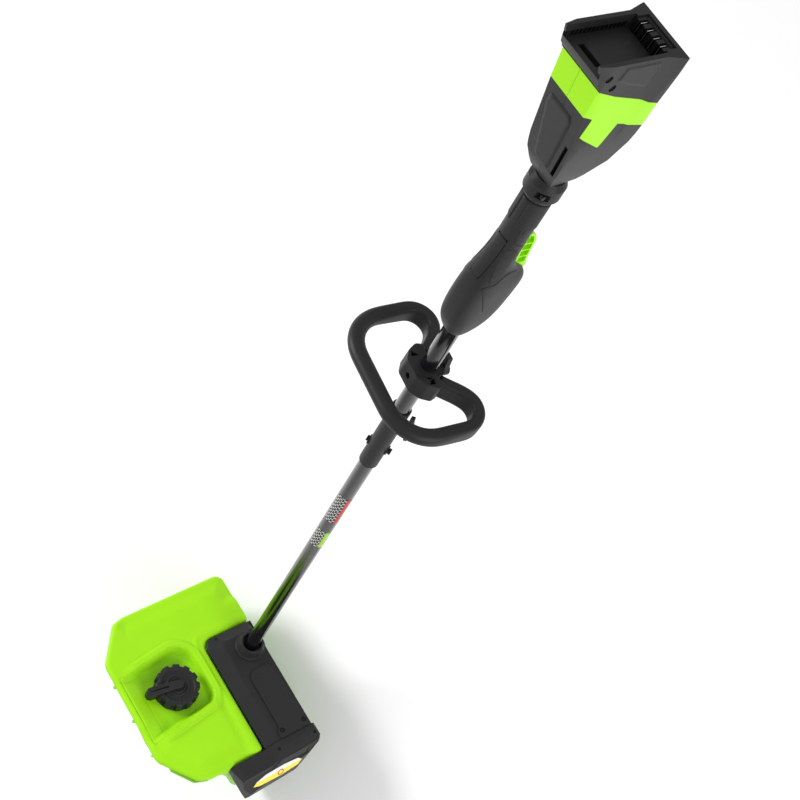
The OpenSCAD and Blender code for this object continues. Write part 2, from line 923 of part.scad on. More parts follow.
handle_plan = [[-22, -18], [-12, -30], [12, -30], [22, -18], [22, 36], [13, 50], [-13, 50],
  [-22, 36]];

trigger_y = 13;
trigger_z = 1112;
lock_y = -14.4;
lock_z = 1123;

module handle_solid() {
  difference() {
    union() {
      intersection() {
        side_prism(handle_side, -24, 24);
        translate([0, 60, 0])
          rotate([90, 0, 0])
            linear_extrude(120)
              polygon(handle_front);
        translate([0, 0, 940])
          linear_extrude(200)
            polygon(handle_plan);
      }
      translate([0, 0, 1080])
        cylinder(h = grip_z1 - 1080, r = grip_r);
    }
    translate([0, 0, 900])
      cylinder(h = tube_z1 - 900 + 0.2, r = tube_d / 2 + 0.02);
    // Hollow for the switch, open to the trigger on the under side
    box([-7.5, -8, 1056], [7.5, 60, 1128]);
    box([-7.5, 26, 1040], [7.5, 60, 1057]);
    // Slot for the lock lever on the upper side
    box([-7.9, -40, 1066], [7.9, -7.9, 1130]);
    // Wiring space up to the battery end
    translate([0, 0, 1120])
      cylinder(h = 90, r = 7);
  }
  x_cylinder(-8, 8, trigger_y, trigger_z, 1.75);
  x_cylinder(-8.4, 8.4, lock_y, lock_z, 1.15);
}

module handle_left() {
  color([0.20, 0.20, 0.21])
    tool()
      intersection() {
        handle_solid();
        box([-60, -60, 900], [-0.05, 60, 1300]);
      }
}

module handle_right() {
  color([0.20, 0.20, 0.21])
    tool()
      difference() {
        intersection() {
          handle_solid();
          box([0.05, -60, 900], [60, 60, 1300]);
        }
        side_prism(cover_side, 19, 40);
      }
}

cover_side = [[-4, 1012], [3, 1000], [20, 1002], [29, 1030], [33, 1052], [14, 1055], [0, 1046]];

module side_cover() {
  color([0.24, 0.24, 0.25])
    tool()
      intersection() {
        side_prism([[-3.6, 1012], [3.2, 1000.5], [19.7, 1002.5], [28.6, 1030], [32.5, 1051.6],
          [14.1, 1054.6], [0.3, 1045.7]], 19.1, 22.6);
        translate([0, 0, 940])
          linear_extrude(200)
            polygon([[0, -30], [12.6, -30], [22.6, -18], [22.6, 36.4], [13.6, 50], [0, 50]]);
      }
}

// Soft pad moulded over the rear of the grip
module grip_pad() {
  color([0.12, 0.12, 0.12])
    tool()
      rotate([0, 0, -70])
        rotate_extrude(angle = 320)
          polygon([[grip_r + 0.02, 1152], [grip_r + 1.6, 1154], [grip_r + 1.6, 1192],
            [grip_r + 0.02, 1194]]);
}

trigger_side = [[8, 1105], [8, 1119], [16, 1123.5], [25, 1125], [33, 1119.5], [39, 1108.6],
  [42, 1088], [45, 1070], [49, 1060], [47.5, 1055.5], [42, 1056], [27, 1061.5], [24, 1075],
  [20, 1095]];

// Ribbed hollow in each side of the trigger
trigger_hollow = [[16, 1118], [25, 1121], [31, 1117], [36, 1107], [39, 1086], [42, 1068],
  [31, 1064], [28, 1077], [24, 1098]];

module trigger() {
  color([0.65, 0.92, 0.18])
    tool()
      difference() {
        side_prism(trigger_side, -7, 7);
        x_cylinder(-8, 8, trigger_y, trigger_z, 1.8);
        x_cylinder(-3, 3, trigger_y, trigger_z, 3.9);
        for (s = [-1, 1])
          difference() {
            side_prism(trigger_hollow, s * 4.6 - 3, s * 4.6 + 3);
            for (i = [0:3])
              side_prism([[20, 1070 + i * 12], [50, 1064 + i * 12], [50, 1066 + i * 12],
                [20, 1072 + i * 12]], -8, 8);
          }
      }
}

// Torsion spring coiled round the trigger's pin
module trigger_spring() {
  color([0.60, 0.61, 0.63])
    tool()
      difference() {
        x_cylinder(-2.6, 2.6, trigger_y, trigger_z, 3.5);
        x_cylinder(-4, 4, trigger_y, trigger_z, 2.1);
      }
}

module lock_lever() {
  color([0.12, 0.12, 0.12])
    tool()
      difference() {
        side_prism([[-12.6, 1068], [-24, 1069], [-27, 1074], [-25.6, 1080], [-21.6, 1100],
          [-19, 1122], [-16, 1128], [-12.6, 1128]], -7.4, 7.4);
        x_cylinder(-10, 10, lock_y, lock_z, 1.2);
      }
}

module switch_body() {
  color([0.08, 0.08, 0.08])
    tool()
      box([-6, -7, 1070], [6, 12, 1094]);
}

// ---- Collar and battery end -------------------------------------------

module collar() {
  color([0.18, 0.18, 0.19])
    tool()
      difference() {
        union() {
          translate([0, 0, collar_z0])
            cylinder(h = 6, r1 = 18, r2 = 21);
          translate([0, 0, collar_z0 + 6])
            cylinder(h = 17, r = 21.5);
          translate([0, 0, collar_z0 + 23])
            cylinder(h = 7, r1 = 21.5, r2 = 17);
          translate([0, 0, collar_z0 + 23])
            cylinder(h = 10, r = 15.5);
        }
        translate([0, 0, collar_z0 - 1])
          cylinder(h = 60, r = 12);
        box([8, -20, collar_z0 + 10], [24, -9, collar_z0 + 19]);
      }
}

module collar_screw() {
  color([0.45, 0.46, 0.48])
    tool()
      x_cylinder(13, 17, -14.5, collar_z0 + 14.5, 3);
}

// Upper side profile of the battery end, as (y, z)
upper_side = [[-18, shell_z0], [-23, 1240], [-31, 1256], [-42, 1306], [-54, 1358], [-59, 1397],
  [-66, 1405], [-76, 1430.4], [39, 1419], [42, 1358], [45, 1330], [46, 1292], [38, 1262],
  [24, 1242], [18, shell_z0]];

upper_front = [[-17, shell_z0], [-20, 1240], [-25, 1262], [-30, 1306], [-33, 1358],
  [-35.5, 1396], [-36.8, 1440], [36.8, 1440], [35.5, 1396], [33, 1358], [30, 1306], [25, 1262],
  [20, 1240], [17, shell_z0]];

// Plan of the battery end seen down the tube, narrower toward the front
upper_plan = [[-30, -59], [-27, -77], [27, -77], [30, -59], [30, 14], [37, 40], [30, 47],
  [-30, 47], [-37, 40], [-30, 14]];

module upper_solid() {
  intersection() {
    side_prism(upper_side, -40, 40);
    translate([0, 60, 0])
      rotate([90, 0, 0])
        linear_extrude(160)
          polygon(upper_front);
    translate([0, 0, 1200])
      linear_extrude(260)
        polygon(upper_plan);
  }
}

module inner_space(z0, z1) {
  intersection() {
    side_prism([[-15, shell_z0 - 1], [-20, 1243], [-28, 1258], [-39, 1308], [-50, 1358],
      [-55, 1396], [36, 1396], [38, 1358], [41, 1330], [36, 1290], [30, 1264], [18, 1244],
      [15, shell_z0 - 1]], -27, 27);
    translate([0, 60, 0])
      rotate([90, 0, 0])
        linear_extrude(160)
          polygon([[-14, shell_z0 - 1], [-17, 1243], [-22, 1264], [-26.5, 1307], [-27, 1360],
            [-27, 1440], [27, 1440], [27, 1360], [26.5, 1307], [22, 1264], [17, 1243],
            [14, shell_z0 - 1]]);
    box([-40, -90, z0], [40, 60, z1]);
  }
}

// Space below the band, whose lower edge slopes, with an arm down each side
module below_band() {
  side_prism([[-90, 1220], [-90, 1366], [-43.5, 1355], [-42, 1327], [-4, 1301], [3, 1334],
    [60, 1314], [60, 1220]], -60, 60);
}

// Space below the slanted cap
module below_cap() {
  side_prism([[-90, 1220], [-90, 1405], [-57, 1395], [-30, 1382], [50, 1351], [60, 1348],
    [60, 1220]], -60, 60);
}

// Bevels between the sloping upper face and the two side walls
module corner_bevels() {
  slope = atan2(54 - 31, 1358 - 1256);
  for (s = [-1, 1])
    translate([0, -54, 1358])
      rotate([slope, 0, 0])
        translate([0, 0, -120])
          linear_extrude(170)
            polygon([[s * 26, -1.2], [s * 45, -1.2], [s * 45, 47.6]]);
}

module shell_half(x0, x1) {
  difference() {
    intersection() {
      upper_solid();
      below_band();
      box([x0, -90, shell_z0], [x1, 60, 1400]);
    }
    inner_space(shell_z0 - 1, 1390);
    corner_bevels();
    side_prism(panel_side, -11.3, 11.3);
    // Long cooling slot beside the right edge of the upper face
    translate([16, 0, 1257])
      rotate([0, 5, 0])
        box([0, -60, 0], [4.5, -24, 50]);
  }
}

panel_side = [[20, 1231], [34.6, 1262.4], [42.4, 1292], [41.4, 1330], [60, 1330], [60, 1231]];

module shell_left() {
  color([0.20, 0.20, 0.21])
    tool()
      shell_half(-50, -0.05);
}

module shell_right() {
  color([0.20, 0.20, 0.21])
    tool()
      shell_half(0.05, 50);
}

// Long inlaid panel on the under side
module under_panel() {
  color([0.07, 0.07, 0.08])
    tool()
      side_prism([[26.4, 1242.5], [37.6, 1262.2], [45.6, 1292], [44.8, 1318], [41.8, 1318],
        [42.6, 1292.2], [34.8, 1262.4], [25.5, 1242.5]], -11, 11);
}

module green_band() {
  color([0.65, 0.92, 0.18])
    tool()
      difference() {
        intersection() {
          upper_solid();
          below_cap();
          box([-50, -90, 1290], [50, 60, 1410]);
        }
        translate([0, 0, 0.1])
          below_band();
        corner_bevels();
        inner_space(1270, 1400);
      }
}

// Slanted block that opens the bay: y runs toward the user, z out of the face
module bay_frame() {
  tool()
    translate([0, 0, face_z])
      rotate([-face_tilt, 0, 0])
        children();
}

module battery_cap() {
  color([0.18, 0.18, 0.19])
    difference() {
      tool()
        difference() {
          intersection() {
            upper_solid();
            box([-50, -90, 1340], [50, 60, 1440]);
          }
          translate([0, 0, 0.1])
            below_cap();
        }
      bay_frame() {
        box([-25, -100, -16], [25, 18, 20]);
        box([-28, -73, -16], [28, 14, -9]);
        box([-22, 17, -30], [22, 33, 20]);
        box([-14, -60, -22], [14, -52, -10]);
      }
      tool()
        inner_space(1330, 1390);
      // Screw recesses in both side walls
      tool()
        for (s = [-1, 1])
          for (p = [[-56, 1412], [-43, 1397]])
            x_cylinder(s * 43.75 - 16.25, s * 43.75 + 16.25, p[0], p[1], 4.2);
    }
}

// Ribbed rails the battery slides along
module bay_rails() {
  color([0.06, 0.06, 0.06])
    bay_frame()
      for (s = [-1, 1])
        difference() {
          box([s * 26.4 - 1.5, -66, -15.9], [s * 26.4 + 1.5, 12, -9.1]);
          for (i = [0:12])
            box([s * 26.4 - 4 - s * 2.9, -63 + i * 5.8, -15], [s * 26.4 + 4 - s * 2.9,
              -59.8 + i * 5.8, -8]);
        }
}

module terminal_block() {
  color([0.05, 0.05, 0.05])
    bay_frame()
      difference() {
        box([-21.8, 17.2, -29.8], [21.8, 32.8, -2]);
        for (i = [0:3])
          box([-17.5 + i * 10, 10, -24], [-12.5 + i * 10, 28, 10]);
      }
}

module terminal_blades() {
  color([0.80, 0.81, 0.82])
    bay_frame()
      for (i = [0:3])
        box([-15.4 + i * 10, 18, -24], [-14.6 + i * 10, 27.9, -3]);
}

hood();
well_tray();
chute_guide();
scraper();
bearing_cap();
skid_left();
rotor_shaft();
rotor_hub();
rotor_paddle_set();
shaft_bearings();
rotor_pulley();
motor_pulley();
drive_belt();
motor_case();
motor_shaft();
drive_housing();
housing_cover();
cover_plate();
end_cap();
end_cap_label();
tube_boss();
housing_screws();
cover_screws();
vane_left();
vane_middle();
vane_right();
vane_tie_bar();
aim_knob();
knob_spindle();
lower_tube();
tube_label_upper();
tube_label_lower();
sleeve();
sleeve_bolt();
sleeve_knob();
upper_tube();
loop_bar();
clamp_body();
clamp_jaw();
clamp_bolt();
clamp_wing();
handle_left();
handle_right();
grip_pad();
side_cover();
trigger();
trigger_spring();
lock_lever();
switch_body();
collar();
collar_screw();
shell_left();
shell_right();
under_panel();
green_band();
battery_cap();
bay_rails();
terminal_block();
terminal_blades();
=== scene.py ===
import math

import bmesh
import bpy
import numpy as np
from mathutils import Matrix, Vector
from mathutils.geometry import delaunay_2d_cdt

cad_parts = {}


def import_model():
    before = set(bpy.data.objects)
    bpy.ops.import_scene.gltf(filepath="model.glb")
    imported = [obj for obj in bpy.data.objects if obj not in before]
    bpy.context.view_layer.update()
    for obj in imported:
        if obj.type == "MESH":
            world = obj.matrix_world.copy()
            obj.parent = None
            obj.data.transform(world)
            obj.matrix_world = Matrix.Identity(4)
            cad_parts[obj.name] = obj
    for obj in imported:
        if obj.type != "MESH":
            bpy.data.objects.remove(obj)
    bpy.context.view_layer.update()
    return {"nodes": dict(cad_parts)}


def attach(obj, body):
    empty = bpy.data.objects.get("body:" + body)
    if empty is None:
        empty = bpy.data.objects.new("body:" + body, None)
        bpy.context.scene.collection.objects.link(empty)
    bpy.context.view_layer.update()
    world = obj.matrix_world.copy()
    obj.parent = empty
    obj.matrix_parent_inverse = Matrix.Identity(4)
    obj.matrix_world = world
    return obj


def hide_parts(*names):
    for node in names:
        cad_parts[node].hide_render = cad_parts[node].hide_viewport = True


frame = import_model()

# ---- Frame ----------------------------------------------------------------
# Shapes are drawn in millimetres in the tool's own frame: z runs up the tube,
# -y is its upper front side, z = 0 is the flat top of the drive housing.

MM = 0.001
TUBE_ANGLE = math.radians(48)
RISE = math.sin(TUBE_ANGLE)
RUN = math.cos(TUBE_ANGLE)
ROTOR_Y = -33.0
ROTOR_Z = -142.0
GUIDE_R = 61.0
GROUND_H = GUIDE_R - ROTOR_Z * RISE + ROTOR_Y * RUN
BASE_Y = -35 - ROTOR_Y * RISE - ROTOR_Z * RUN
HOOD_X = 8.5
HOOD_X0 = HOOD_X - 152
HOOD_X1 = HOOD_X + 152


def world(points):
    """Tool-frame millimetres to row-frame metres."""
    p = np.asarray(points, float).reshape(-1, 3)
    out = np.stack([p[:, 0], BASE_Y + p[:, 1] * RISE + p[:, 2] * RUN,
                    GROUND_H + p[:, 2] * RISE - p[:, 1] * RUN], 1)
    return out * MM


# ---- Materials ------------------------------------------------------------

def material(name, color, rough, spread=0.12, grain=0.0, grain_size=0.0006, vary=0.06,
             metallic=0.0, coat=0.0, gloss=0.3, streak=None):
    """Procedural surface: mottled colour, uneven roughness and a fine grain in relief."""
    m = bpy.data.materials.new(name)
    m.use_nodes = True
    nt = m.node_tree
    bsdf = nt.nodes["Principled BSDF"]
    bsdf.inputs["Metallic"].default_value = metallic
    bsdf.inputs["Coat Weight"].default_value = coat
    bsdf.inputs["Specular IOR Level"].default_value = gloss
    bsdf.inputs["Coat Roughness"].default_value = 0.15
    coord = nt.nodes.new("ShaderNodeTexCoord")
    source = coord.outputs["Object"]
    if streak:
        mapping = nt.nodes.new("ShaderNodeMapping")
        mapping.inputs["Scale"].default_value = streak
        nt.links.new(source, mapping.inputs["Vector"])
        source = mapping.outputs["Vector"]
    broad = nt.nodes.new("ShaderNodeTexNoise")
    broad.inputs["Scale"].default_value = 18
    broad.inputs["Detail"].default_value = 6
    nt.links.new(source, broad.inputs["Vector"])
    mix = nt.nodes.new("ShaderNodeMix")
    mix.data_type = "RGBA"
    dark = [c * (1 - vary) for c in color]
    light = [min(1, c * (1 + vary)) for c in color]
    mix.inputs[6].default_value = (*dark, 1)
    mix.inputs[7].default_value = (*light, 1)
    nt.links.new(broad.outputs["Fac"], mix.inputs[0])
    nt.links.new(mix.outputs[2], bsdf.inputs["Base Color"])
    fine = nt.nodes.new("ShaderNodeTexNoise")
    fine.inputs["Scale"].default_value = 0.35 / grain_size
    fine.inputs["Detail"].default_value = 3
    nt.links.new(source, fine.inputs["Vector"])
    ramp = nt.nodes.new("ShaderNodeMapRange")
    ramp.inputs["To Min"].default_value = max(0.02, rough - spread / 2)
    ramp.inputs["To Max"].default_value = min(1, rough + spread / 2)
    nt.links.new(broad.outputs["Fac"], ramp.inputs["Value"])
    nt.links.new(ramp.outputs["Result"], bsdf.inputs["Roughness"])
    bump = nt.nodes.new("ShaderNodeBump")
    bump.inputs["Strength"].default_value = grain
    bump.inputs["Distance"].default_value = grain_size * 0.5
    nt.links.new(fine.outputs["Fac"], bump.inputs["Height"])
    nt.links.new(bump.outputs["Normal"], bsdf.inputs["Normal"])
    return m


GREEN = (0.36, 0.80, 0.012)
M = {
    "green": material("green_shell", GREEN, 0.42, grain=0.10, grain_size=0.0005, vary=0.04,
                      gloss=0.16),
    "green_deep": material("green_inner", (0.30, 0.66, 0.03), 0.45, grain=0.15, vary=0.06),
    "black": material("black_plastic", (0.024, 0.024, 0.025), 0.44, grain=0.30,
                      grain_size=0.0007, gloss=0.17),
    # Black plastic made lighter for the slat ribs: a painted highlight where light catches the rib
    # tops
    "slat": material("slat_painted_highlight", (0.060, 0.060, 0.062), 0.40, grain=0.20,
                     grain_size=0.0007, gloss=0.3),
    "black_soft": material("black_soft", (0.018, 0.018, 0.019), 0.62, grain=0.45,
                           grain_size=0.0010),
    # Darkest black; also used as painted shade in the cap holes, under the slot and between the
    # slats
    "black_deep": material("black_deep", (0.008, 0.008, 0.009), 0.50, grain=0.25),
    "tube": material("tube_paint", (0.006, 0.006, 0.007), 0.14, spread=0.06, grain=0.04,
                     coat=0.6, gloss=0.5),
    "grip": material("grip_texture", (0.022, 0.022, 0.023), 0.70, grain=0.9,
                     grain_size=0.0024),
    "rubber": material("rubber", (0.012, 0.012, 0.012), 0.70, grain=0.5, grain_size=0.0012),
    "steel": material("steel", (0.50, 0.51, 0.53), 0.32, metallic=1.0, grain=0.15,
                      streak=(1, 14, 14)),
    "metal": material("cast_metal", (0.36, 0.37, 0.39), 0.45, metallic=1.0, grain=0.4,
                      grain_size=0.0012),
    "contacts": material("contacts", (0.78, 0.79, 0.80), 0.22, metallic=1.0, grain=0.1,
                         streak=(14, 1, 1)),
    "screw": material("black_screw", (0.02, 0.02, 0.021), 0.34, metallic=0.6, grain=0.1),
}


RING_R = 0.0050
RING_HALF_WIDTH = 0.0009
RING_RED = (0.55, 0.04, 0.03)


def label_material(name, ground, ink, accent, split, mark=None):
    """Printed label with rows of bars, a coloured block past x = split and a ring round mark."""
    m = material(name, ground, 0.28, vary=0.02)
    nt = m.node_tree
    bsdf = nt.nodes["Principled BSDF"]
    coord = nt.nodes.new("ShaderNodeTexCoord")
    origin = nt.nodes.new("ShaderNodeMapping")
    origin.inputs["Location"].default_value = (0, -BASE_Y * MM, -GROUND_H * MM)
    nt.links.new(coord.outputs["Object"], origin.inputs["Vector"])
    spin = nt.nodes.new("ShaderNodeVectorRotate")
    spin.rotation_type = "X_AXIS"
    spin.inputs["Angle"].default_value = math.pi / 2 - TUBE_ANGLE
    nt.links.new(origin.outputs["Vector"], spin.inputs["Vector"])
    brick = nt.nodes.new("ShaderNodeTexBrick")
    brick.inputs["Color1"].default_value = (*ink, 1)
    brick.inputs["Color2"].default_value = (*ink, 1)
    brick.inputs["Mortar"].default_value = (*ground, 1)
    brick.inputs["Scale"].default_value = 1
    brick.inputs["Brick Width"].default_value = 0.0062
    brick.inputs["Row Height"].default_value = 0.0042
    brick.inputs["Mortar Size"].default_value = 0.0012
    axes = nt.nodes.new("ShaderNodeSeparateXYZ")
    nt.links.new(spin.outputs["Vector"], axes.inputs["Vector"])
    flat = nt.nodes.new("ShaderNodeCombineXYZ")
    nt.links.new(axes.outputs["X"], flat.inputs["X"])
    nt.links.new(axes.outputs["Z"], flat.inputs["Y"])
    nt.links.new(flat.outputs["Vector"], brick.inputs["Vector"])
    above = nt.nodes.new("ShaderNodeMath")
    above.operation = "GREATER_THAN"
    above.inputs[1].default_value = split
    nt.links.new(axes.outputs["X"], above.inputs[0])
    pick = nt.nodes.new("ShaderNodeMix")
    pick.data_type = "RGBA"
    pick.inputs[7].default_value = (*accent, 1)
    nt.links.new(above.outputs["Value"], pick.inputs[0])
    nt.links.new(brick.outputs["Color"], pick.inputs[6])
    colour = pick.outputs[2]
    if mark:
        away = nt.nodes.new("ShaderNodeVectorMath")
        away.operation = "DISTANCE"
        away.inputs[1].default_value = mark
        nt.links.new(spin.outputs["Vector"], away.inputs[0])
        ring = nt.nodes.new("ShaderNodeMath")
        ring.operation = "COMPARE"
        ring.inputs[1].default_value = RING_R
        ring.inputs[2].default_value = RING_HALF_WIDTH
        nt.links.new(away.outputs["Value"], ring.inputs[0])
        stamp = nt.nodes.new("ShaderNodeMix")
        stamp.data_type = "RGBA"
        stamp.inputs[7].default_value = (*RING_RED, 1)
        nt.links.new(ring.outputs["Value"], stamp.inputs[0])
        nt.links.new(colour, stamp.inputs[6])
        colour = stamp.outputs[2]
    nt.links.new(colour, bsdf.inputs["Base Color"])
    return m


LABEL_BLACK = (0.01, 0.01, 0.01)
LABEL_GREY = (0.75, 0.75, 0.74)
STICKER_WHITE = (0.86, 0.86, 0.84)
M["label_red"] = label_material("label_red", LABEL_BLACK, LABEL_GREY, (0.50, 0.03, 0.02), 0.0098)
M["label_green"] = label_material("label_green", LABEL_BLACK, LABEL_GREY, (0.34, 0.62, 0.03),
                                  0.0094)
M["sticker"] = label_material("sticker", STICKER_WHITE, STICKER_WHITE, (0.90, 0.80, 0.10),
                              0.1990, (0.2006, -0.050, -0.0350))

# ---- CAD nodes ------------------------------------------------------------

smooth_group = bpy.data.node_groups.new("smooth_shade", "GeometryNodeTree")
smooth_group.interface.new_socket("Geometry", in_out="INPUT", socket_type="NodeSocketGeometry")
smooth_group.interface.new_socket("Geometry", in_out="OUTPUT", socket_type="NodeSocketGeometry")
group_in = smooth_group.nodes.new("NodeGroupInput")
group_out = smooth_group.nodes.new("NodeGroupOutput")
set_smooth = smooth_group.nodes.new("GeometryNodeSetShadeSmooth")
smooth_group.links.new(group_in.outputs[0], set_smooth.inputs["Geometry"])
smooth_group.links.new(set_smooth.outputs[0], group_out.inputs[0])


def weight_normals(o):
    """Keeps flat faces flat where a small rounding meets them."""
    w = o.modifiers.new("weighted", "WEIGHTED_NORMAL")
    w.keep_sharp = True
    w.weight = 100


def dress(node, mat, bevel):
    """Gives a CAD node its surface and softens its edges with modifiers only."""
    o = frame["nodes"][node]
    o.data.materials.clear()
    o.data.materials.append(M[mat])
    weld = o.modifiers.new("weld", "WELD")
    weld.merge_threshold = 0.00002
    if bevel:
        flat = o.modifiers.new("flat", "DECIMATE")
        flat.decimate_type = "DISSOLVE"
        flat.angle_limit = math.radians(0.6)
        soft = o.modifiers.new("soft", "BEVEL")
        soft.width = bevel * MM
        soft.segments = 3
        soft.limit_method = "ANGLE"
        soft.angle_limit = math.radians(28)
        soft.use_clamp_overlap = True
        soft.miter_outer = "MITER_ARC"
    shade = o.modifiers.new("shade", "NODES")
    shade.node_group = smooth_group
    weight_normals(o)


# Surface and edge rounding in mm of each CAD node that shows
CAD_LOOK = {
    "chute_guide": ("green_deep", 0.8), "scraper": ("black_deep", 1.0),
    "bearing_cap": ("black", 1.2), "skid_left": ("black", 0.8),
    "rotor_shaft": ("steel", 0.4), "rotor_hub": ("black", 0.8),
    "rotor_paddle_set": ("rubber", 1.0), "shaft_bearings": ("steel", 0.3),
    "rotor_pulley": ("black", 0.5), "motor_pulley": ("metal", 0.4),
    "drive_belt": ("rubber", 0.0), "motor_case": ("metal", 0.8), "motor_shaft": ("steel", 0.3),
    "drive_housing": ("black", 1.5), "end_cap": ("black", 2.2), "end_cap_label": ("sticker", 0.0),
    "tube_boss": ("black", 1.0), "housing_screws": ("screw", 0.3),
    "cover_screws": ("screw", 0.3), "vane_left": ("green", 0.7), "vane_middle": ("green", 0.7),
    "vane_right": ("green", 0.7), "vane_tie_bar": ("black", 0.3), "knob_spindle": ("steel", 0.2),
    "lower_tube": ("tube", 0.0), "tube_label_upper": ("label_red", 0.0),
    "tube_label_lower": ("label_green", 0.0), "sleeve": ("black", 0.8),
    "sleeve_bolt": ("screw", 0.4), "sleeve_knob": ("black", 1.2), "upper_tube": ("tube", 0.0),
    "clamp_jaw": ("black", 1.2), "clamp_bolt": ("steel", 0.4),
    "clamp_wing": ("black", 1.6), "grip_pad": ("black_soft", 0.7),
    "trigger": ("green", 0.9), "trigger_spring": ("steel", 0.0),
    "switch_body": ("black_deep", 0.5), "collar": ("black", 1.0), "collar_screw": ("screw", 0.3),
    "shell_left": ("black", 2.0), "shell_right": ("black", 2.0), "under_panel": ("black_deep", 0.8),
    "green_band": ("green", 1.2), "battery_cap": ("black", 1.5), "bay_rails": ("black_deep", 0.3),
    "terminal_block": ("black_deep", 0.6), "terminal_blades": ("contacts", 0.2),
}
for node_name, (look, width) in CAD_LOOK.items():
    dress(node_name, look, width)

# ---- Mesh helpers ---------------------------------------------------------


def build(name, verts, faces, mat, body, *replaced, place=world):
    """Makes a smooth-shaded piece from tool-frame millimetres and hangs it on a body."""
    mesh = bpy.data.meshes.new(name)
    mesh.from_pydata([tuple(v) for v in place(verts)], [], faces)
    mesh.validate()
    mesh.polygons.foreach_set("use_smooth", [True] * len(mesh.polygons))
    mesh.materials.append(M[mat])
    mesh.update()
    o = bpy.data.objects.new(name, mesh)
    bpy.context.scene.collection.objects.link(o)
    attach(o, body)
    if replaced:
        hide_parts(*replaced)
    weight_normals(o)
    return o


def fillet(points, radii, steps=6):
    """Outline with its corners rounded off. radii is one number or one per corner."""
    n = len(points)
    if not hasattr(radii, "__len__"):
        radii = [radii] * n
    out = []
    for i in range(n):
        p = np.array(points[i], float)
        a = np.array(points[i - 1], float) - p
        b = np.array(points[(i + 1) % n], float) - p
        la = np.linalg.norm(a)
        lb = np.linalg.norm(b)
        a /= la
        b /= lb
        half = math.acos(max(-1, min(1, float(a @ b)))) / 2
        if radii[i] <= 0 or half > 1.54:
            out.append(p)
            continue
        reach = min(radii[i] / math.tan(half), 0.48 * la, 0.48 * lb)
        r = reach * math.tan(half)
        mid = (a + b) / np.linalg.norm(a + b)
        c = p + mid * (r / math.sin(half))
        start = p + a * reach - c
        end = p + b * reach - c
        t0 = math.atan2(start[1], start[0])
        t1 = math.atan2(end[1], end[0])
        d = (t1 - t0 + math.pi) % (2 * math.pi) - math.pi
        for k in range(steps + 1):
            t = t0 + d * k / steps
            out.append(c + r * np.array([math.cos(t), math.sin(t)]))
    return np.array(out)


def resample(loop, pitch):
    """The same outline with a point about every pitch millimetres."""
    out = []
    for i in range(len(loop)):
        a = loop[i]
        b = loop[(i + 1) % len(loop)]
        n = max(1, int(round(np.linalg.norm(b - a) / pitch)))
        for k in range(n):
            out.append(a + (b - a) * k / n)
    return np.array(out)


def inset(loop, d):
    """Outline moved inward by d, for an outline listed counterclockwise."""
    prev = loop - np.roll(loop, 1, 0)
    nxt = np.roll(loop, -1, 0) - loop

    def left(v):
        n = np.stack([-v[:, 1], v[:, 0]], 1)
        return n / np.maximum(np.linalg.norm(n, axis=1)[:, None], 1e-9)

    n = left(prev) + left(nxt)
    n /= np.maximum(np.linalg.norm(n, axis=1)[:, None], 1e-9)
    cosine = np.clip((n * left(nxt)).sum(1), 0.5, 1)
    return loop + n * (d / cosine)[:, None]


def rings_mesh(rings, cap_start=True, cap_end=True):
    """Quads between rings of equal length, with capped ends."""
    n = len(rings[0])
    verts = np.concatenate(rings)
    faces = []
    for k in range(len(rings) - 1):
        for i in range(n):
            j = (i + 1) % n
            faces.append((k * n + i, k * n + j, (k + 1) * n + j, (k + 1) * n + i))
    if cap_start:
        faces.append(tuple(range(n))[::-1])
    if cap_end:
        faces.append(tuple(range((len(rings) - 1) * n, len(rings) * n)))
    return verts, faces


def plate(outline, z0, z1, r, steps=4):
    """Slab over a counterclockwise outline whose upper edge is rounded by r."""
    rings = [np.column_stack([outline, np.full(len(outline), z0)])]
    for k in range(steps + 1):
        t = math.pi / 2 * k / steps
        o = inset(outline, r * (1 - math.cos(t)))
        rings.append(np.column_stack([o, np.full(len(o), z1 - r + r * math.sin(t))]))
    return rings_mesh(rings)


def cut(o, verts, faces, place=world):
    """Cuts a closed shape out of a piece for good."""
    mesh = bpy.data.meshes.new("cutter")
    mesh.from_pydata([tuple(v) for v in place(verts)], [], faces)
    tool = bpy.data.objects.new("cutter", mesh)
    bpy.context.scene.collection.objects.link(tool)
    mod = o.modifiers.new("cut", "BOOLEAN")
    mod.operation = "DIFFERENCE"
    mod.solver = "EXACT"
    mod.object = tool
    bpy.context.view_layer.update()
    done = bpy.data.meshes.new_from_object(o.evaluated_get(
        bpy.context.evaluated_depsgraph_get()))
    o.modifiers.remove(mod)
    old = o.data
    o.data = done
    bpy.data.objects.remove(tool)
    bpy.data.meshes.remove(mesh)
    bpy.data.meshes.remove(old)


def box_mesh(low, high):
    """Box between two corners."""
    x0, y0, z0 = low
    x1, y1, z1 = high
    v = [(x0, y0, z0), (x1, y0, z0), (x1, y1, z0), (x0, y1, z0),
         (x0, y0, z1), (x1, y0, z1), (x1, y1, z1), (x0, y1, z1)]
    f = [(0, 3, 2, 1), (4, 5, 6, 7), (0, 1, 5, 4), (1, 2, 6, 5), (2, 3, 7, 6), (3, 0, 4, 7)]
    return v, f


def edge_distance(points, loop, closed=True):
    """Distance of each point from an outline."""
    best = np.full(len(points), 1e9)
    n = len(loop)
    for i in range(n if closed else n - 1):
        a = loop[i]
        b = loop[(i + 1) % n]
        ab = b - a
        t = np.clip(((points - a) @ ab) / max(float(ab @ ab), 1e-9), 0, 1)
        best = np.minimum(best, np.linalg.norm(points - a - t[:, None] * ab, axis=1))
    return best


def inside(points, loop):
    """Which points lie within an outline."""
    hit = np.zeros(len(points), bool)
    x = points[:, 0]
    y = points[:, 1]
    for i in range(len(loop)):
        ax, ay = loop[i]
        bx, by = loop[(i + 1) % len(loop)]
        if ay == by:
            continue
        cross = ((ay > y) != (by > y)) & (x < (bx - ax) * (y - ay) / (by - ay) + ax)
        hit ^= cross
    return hit


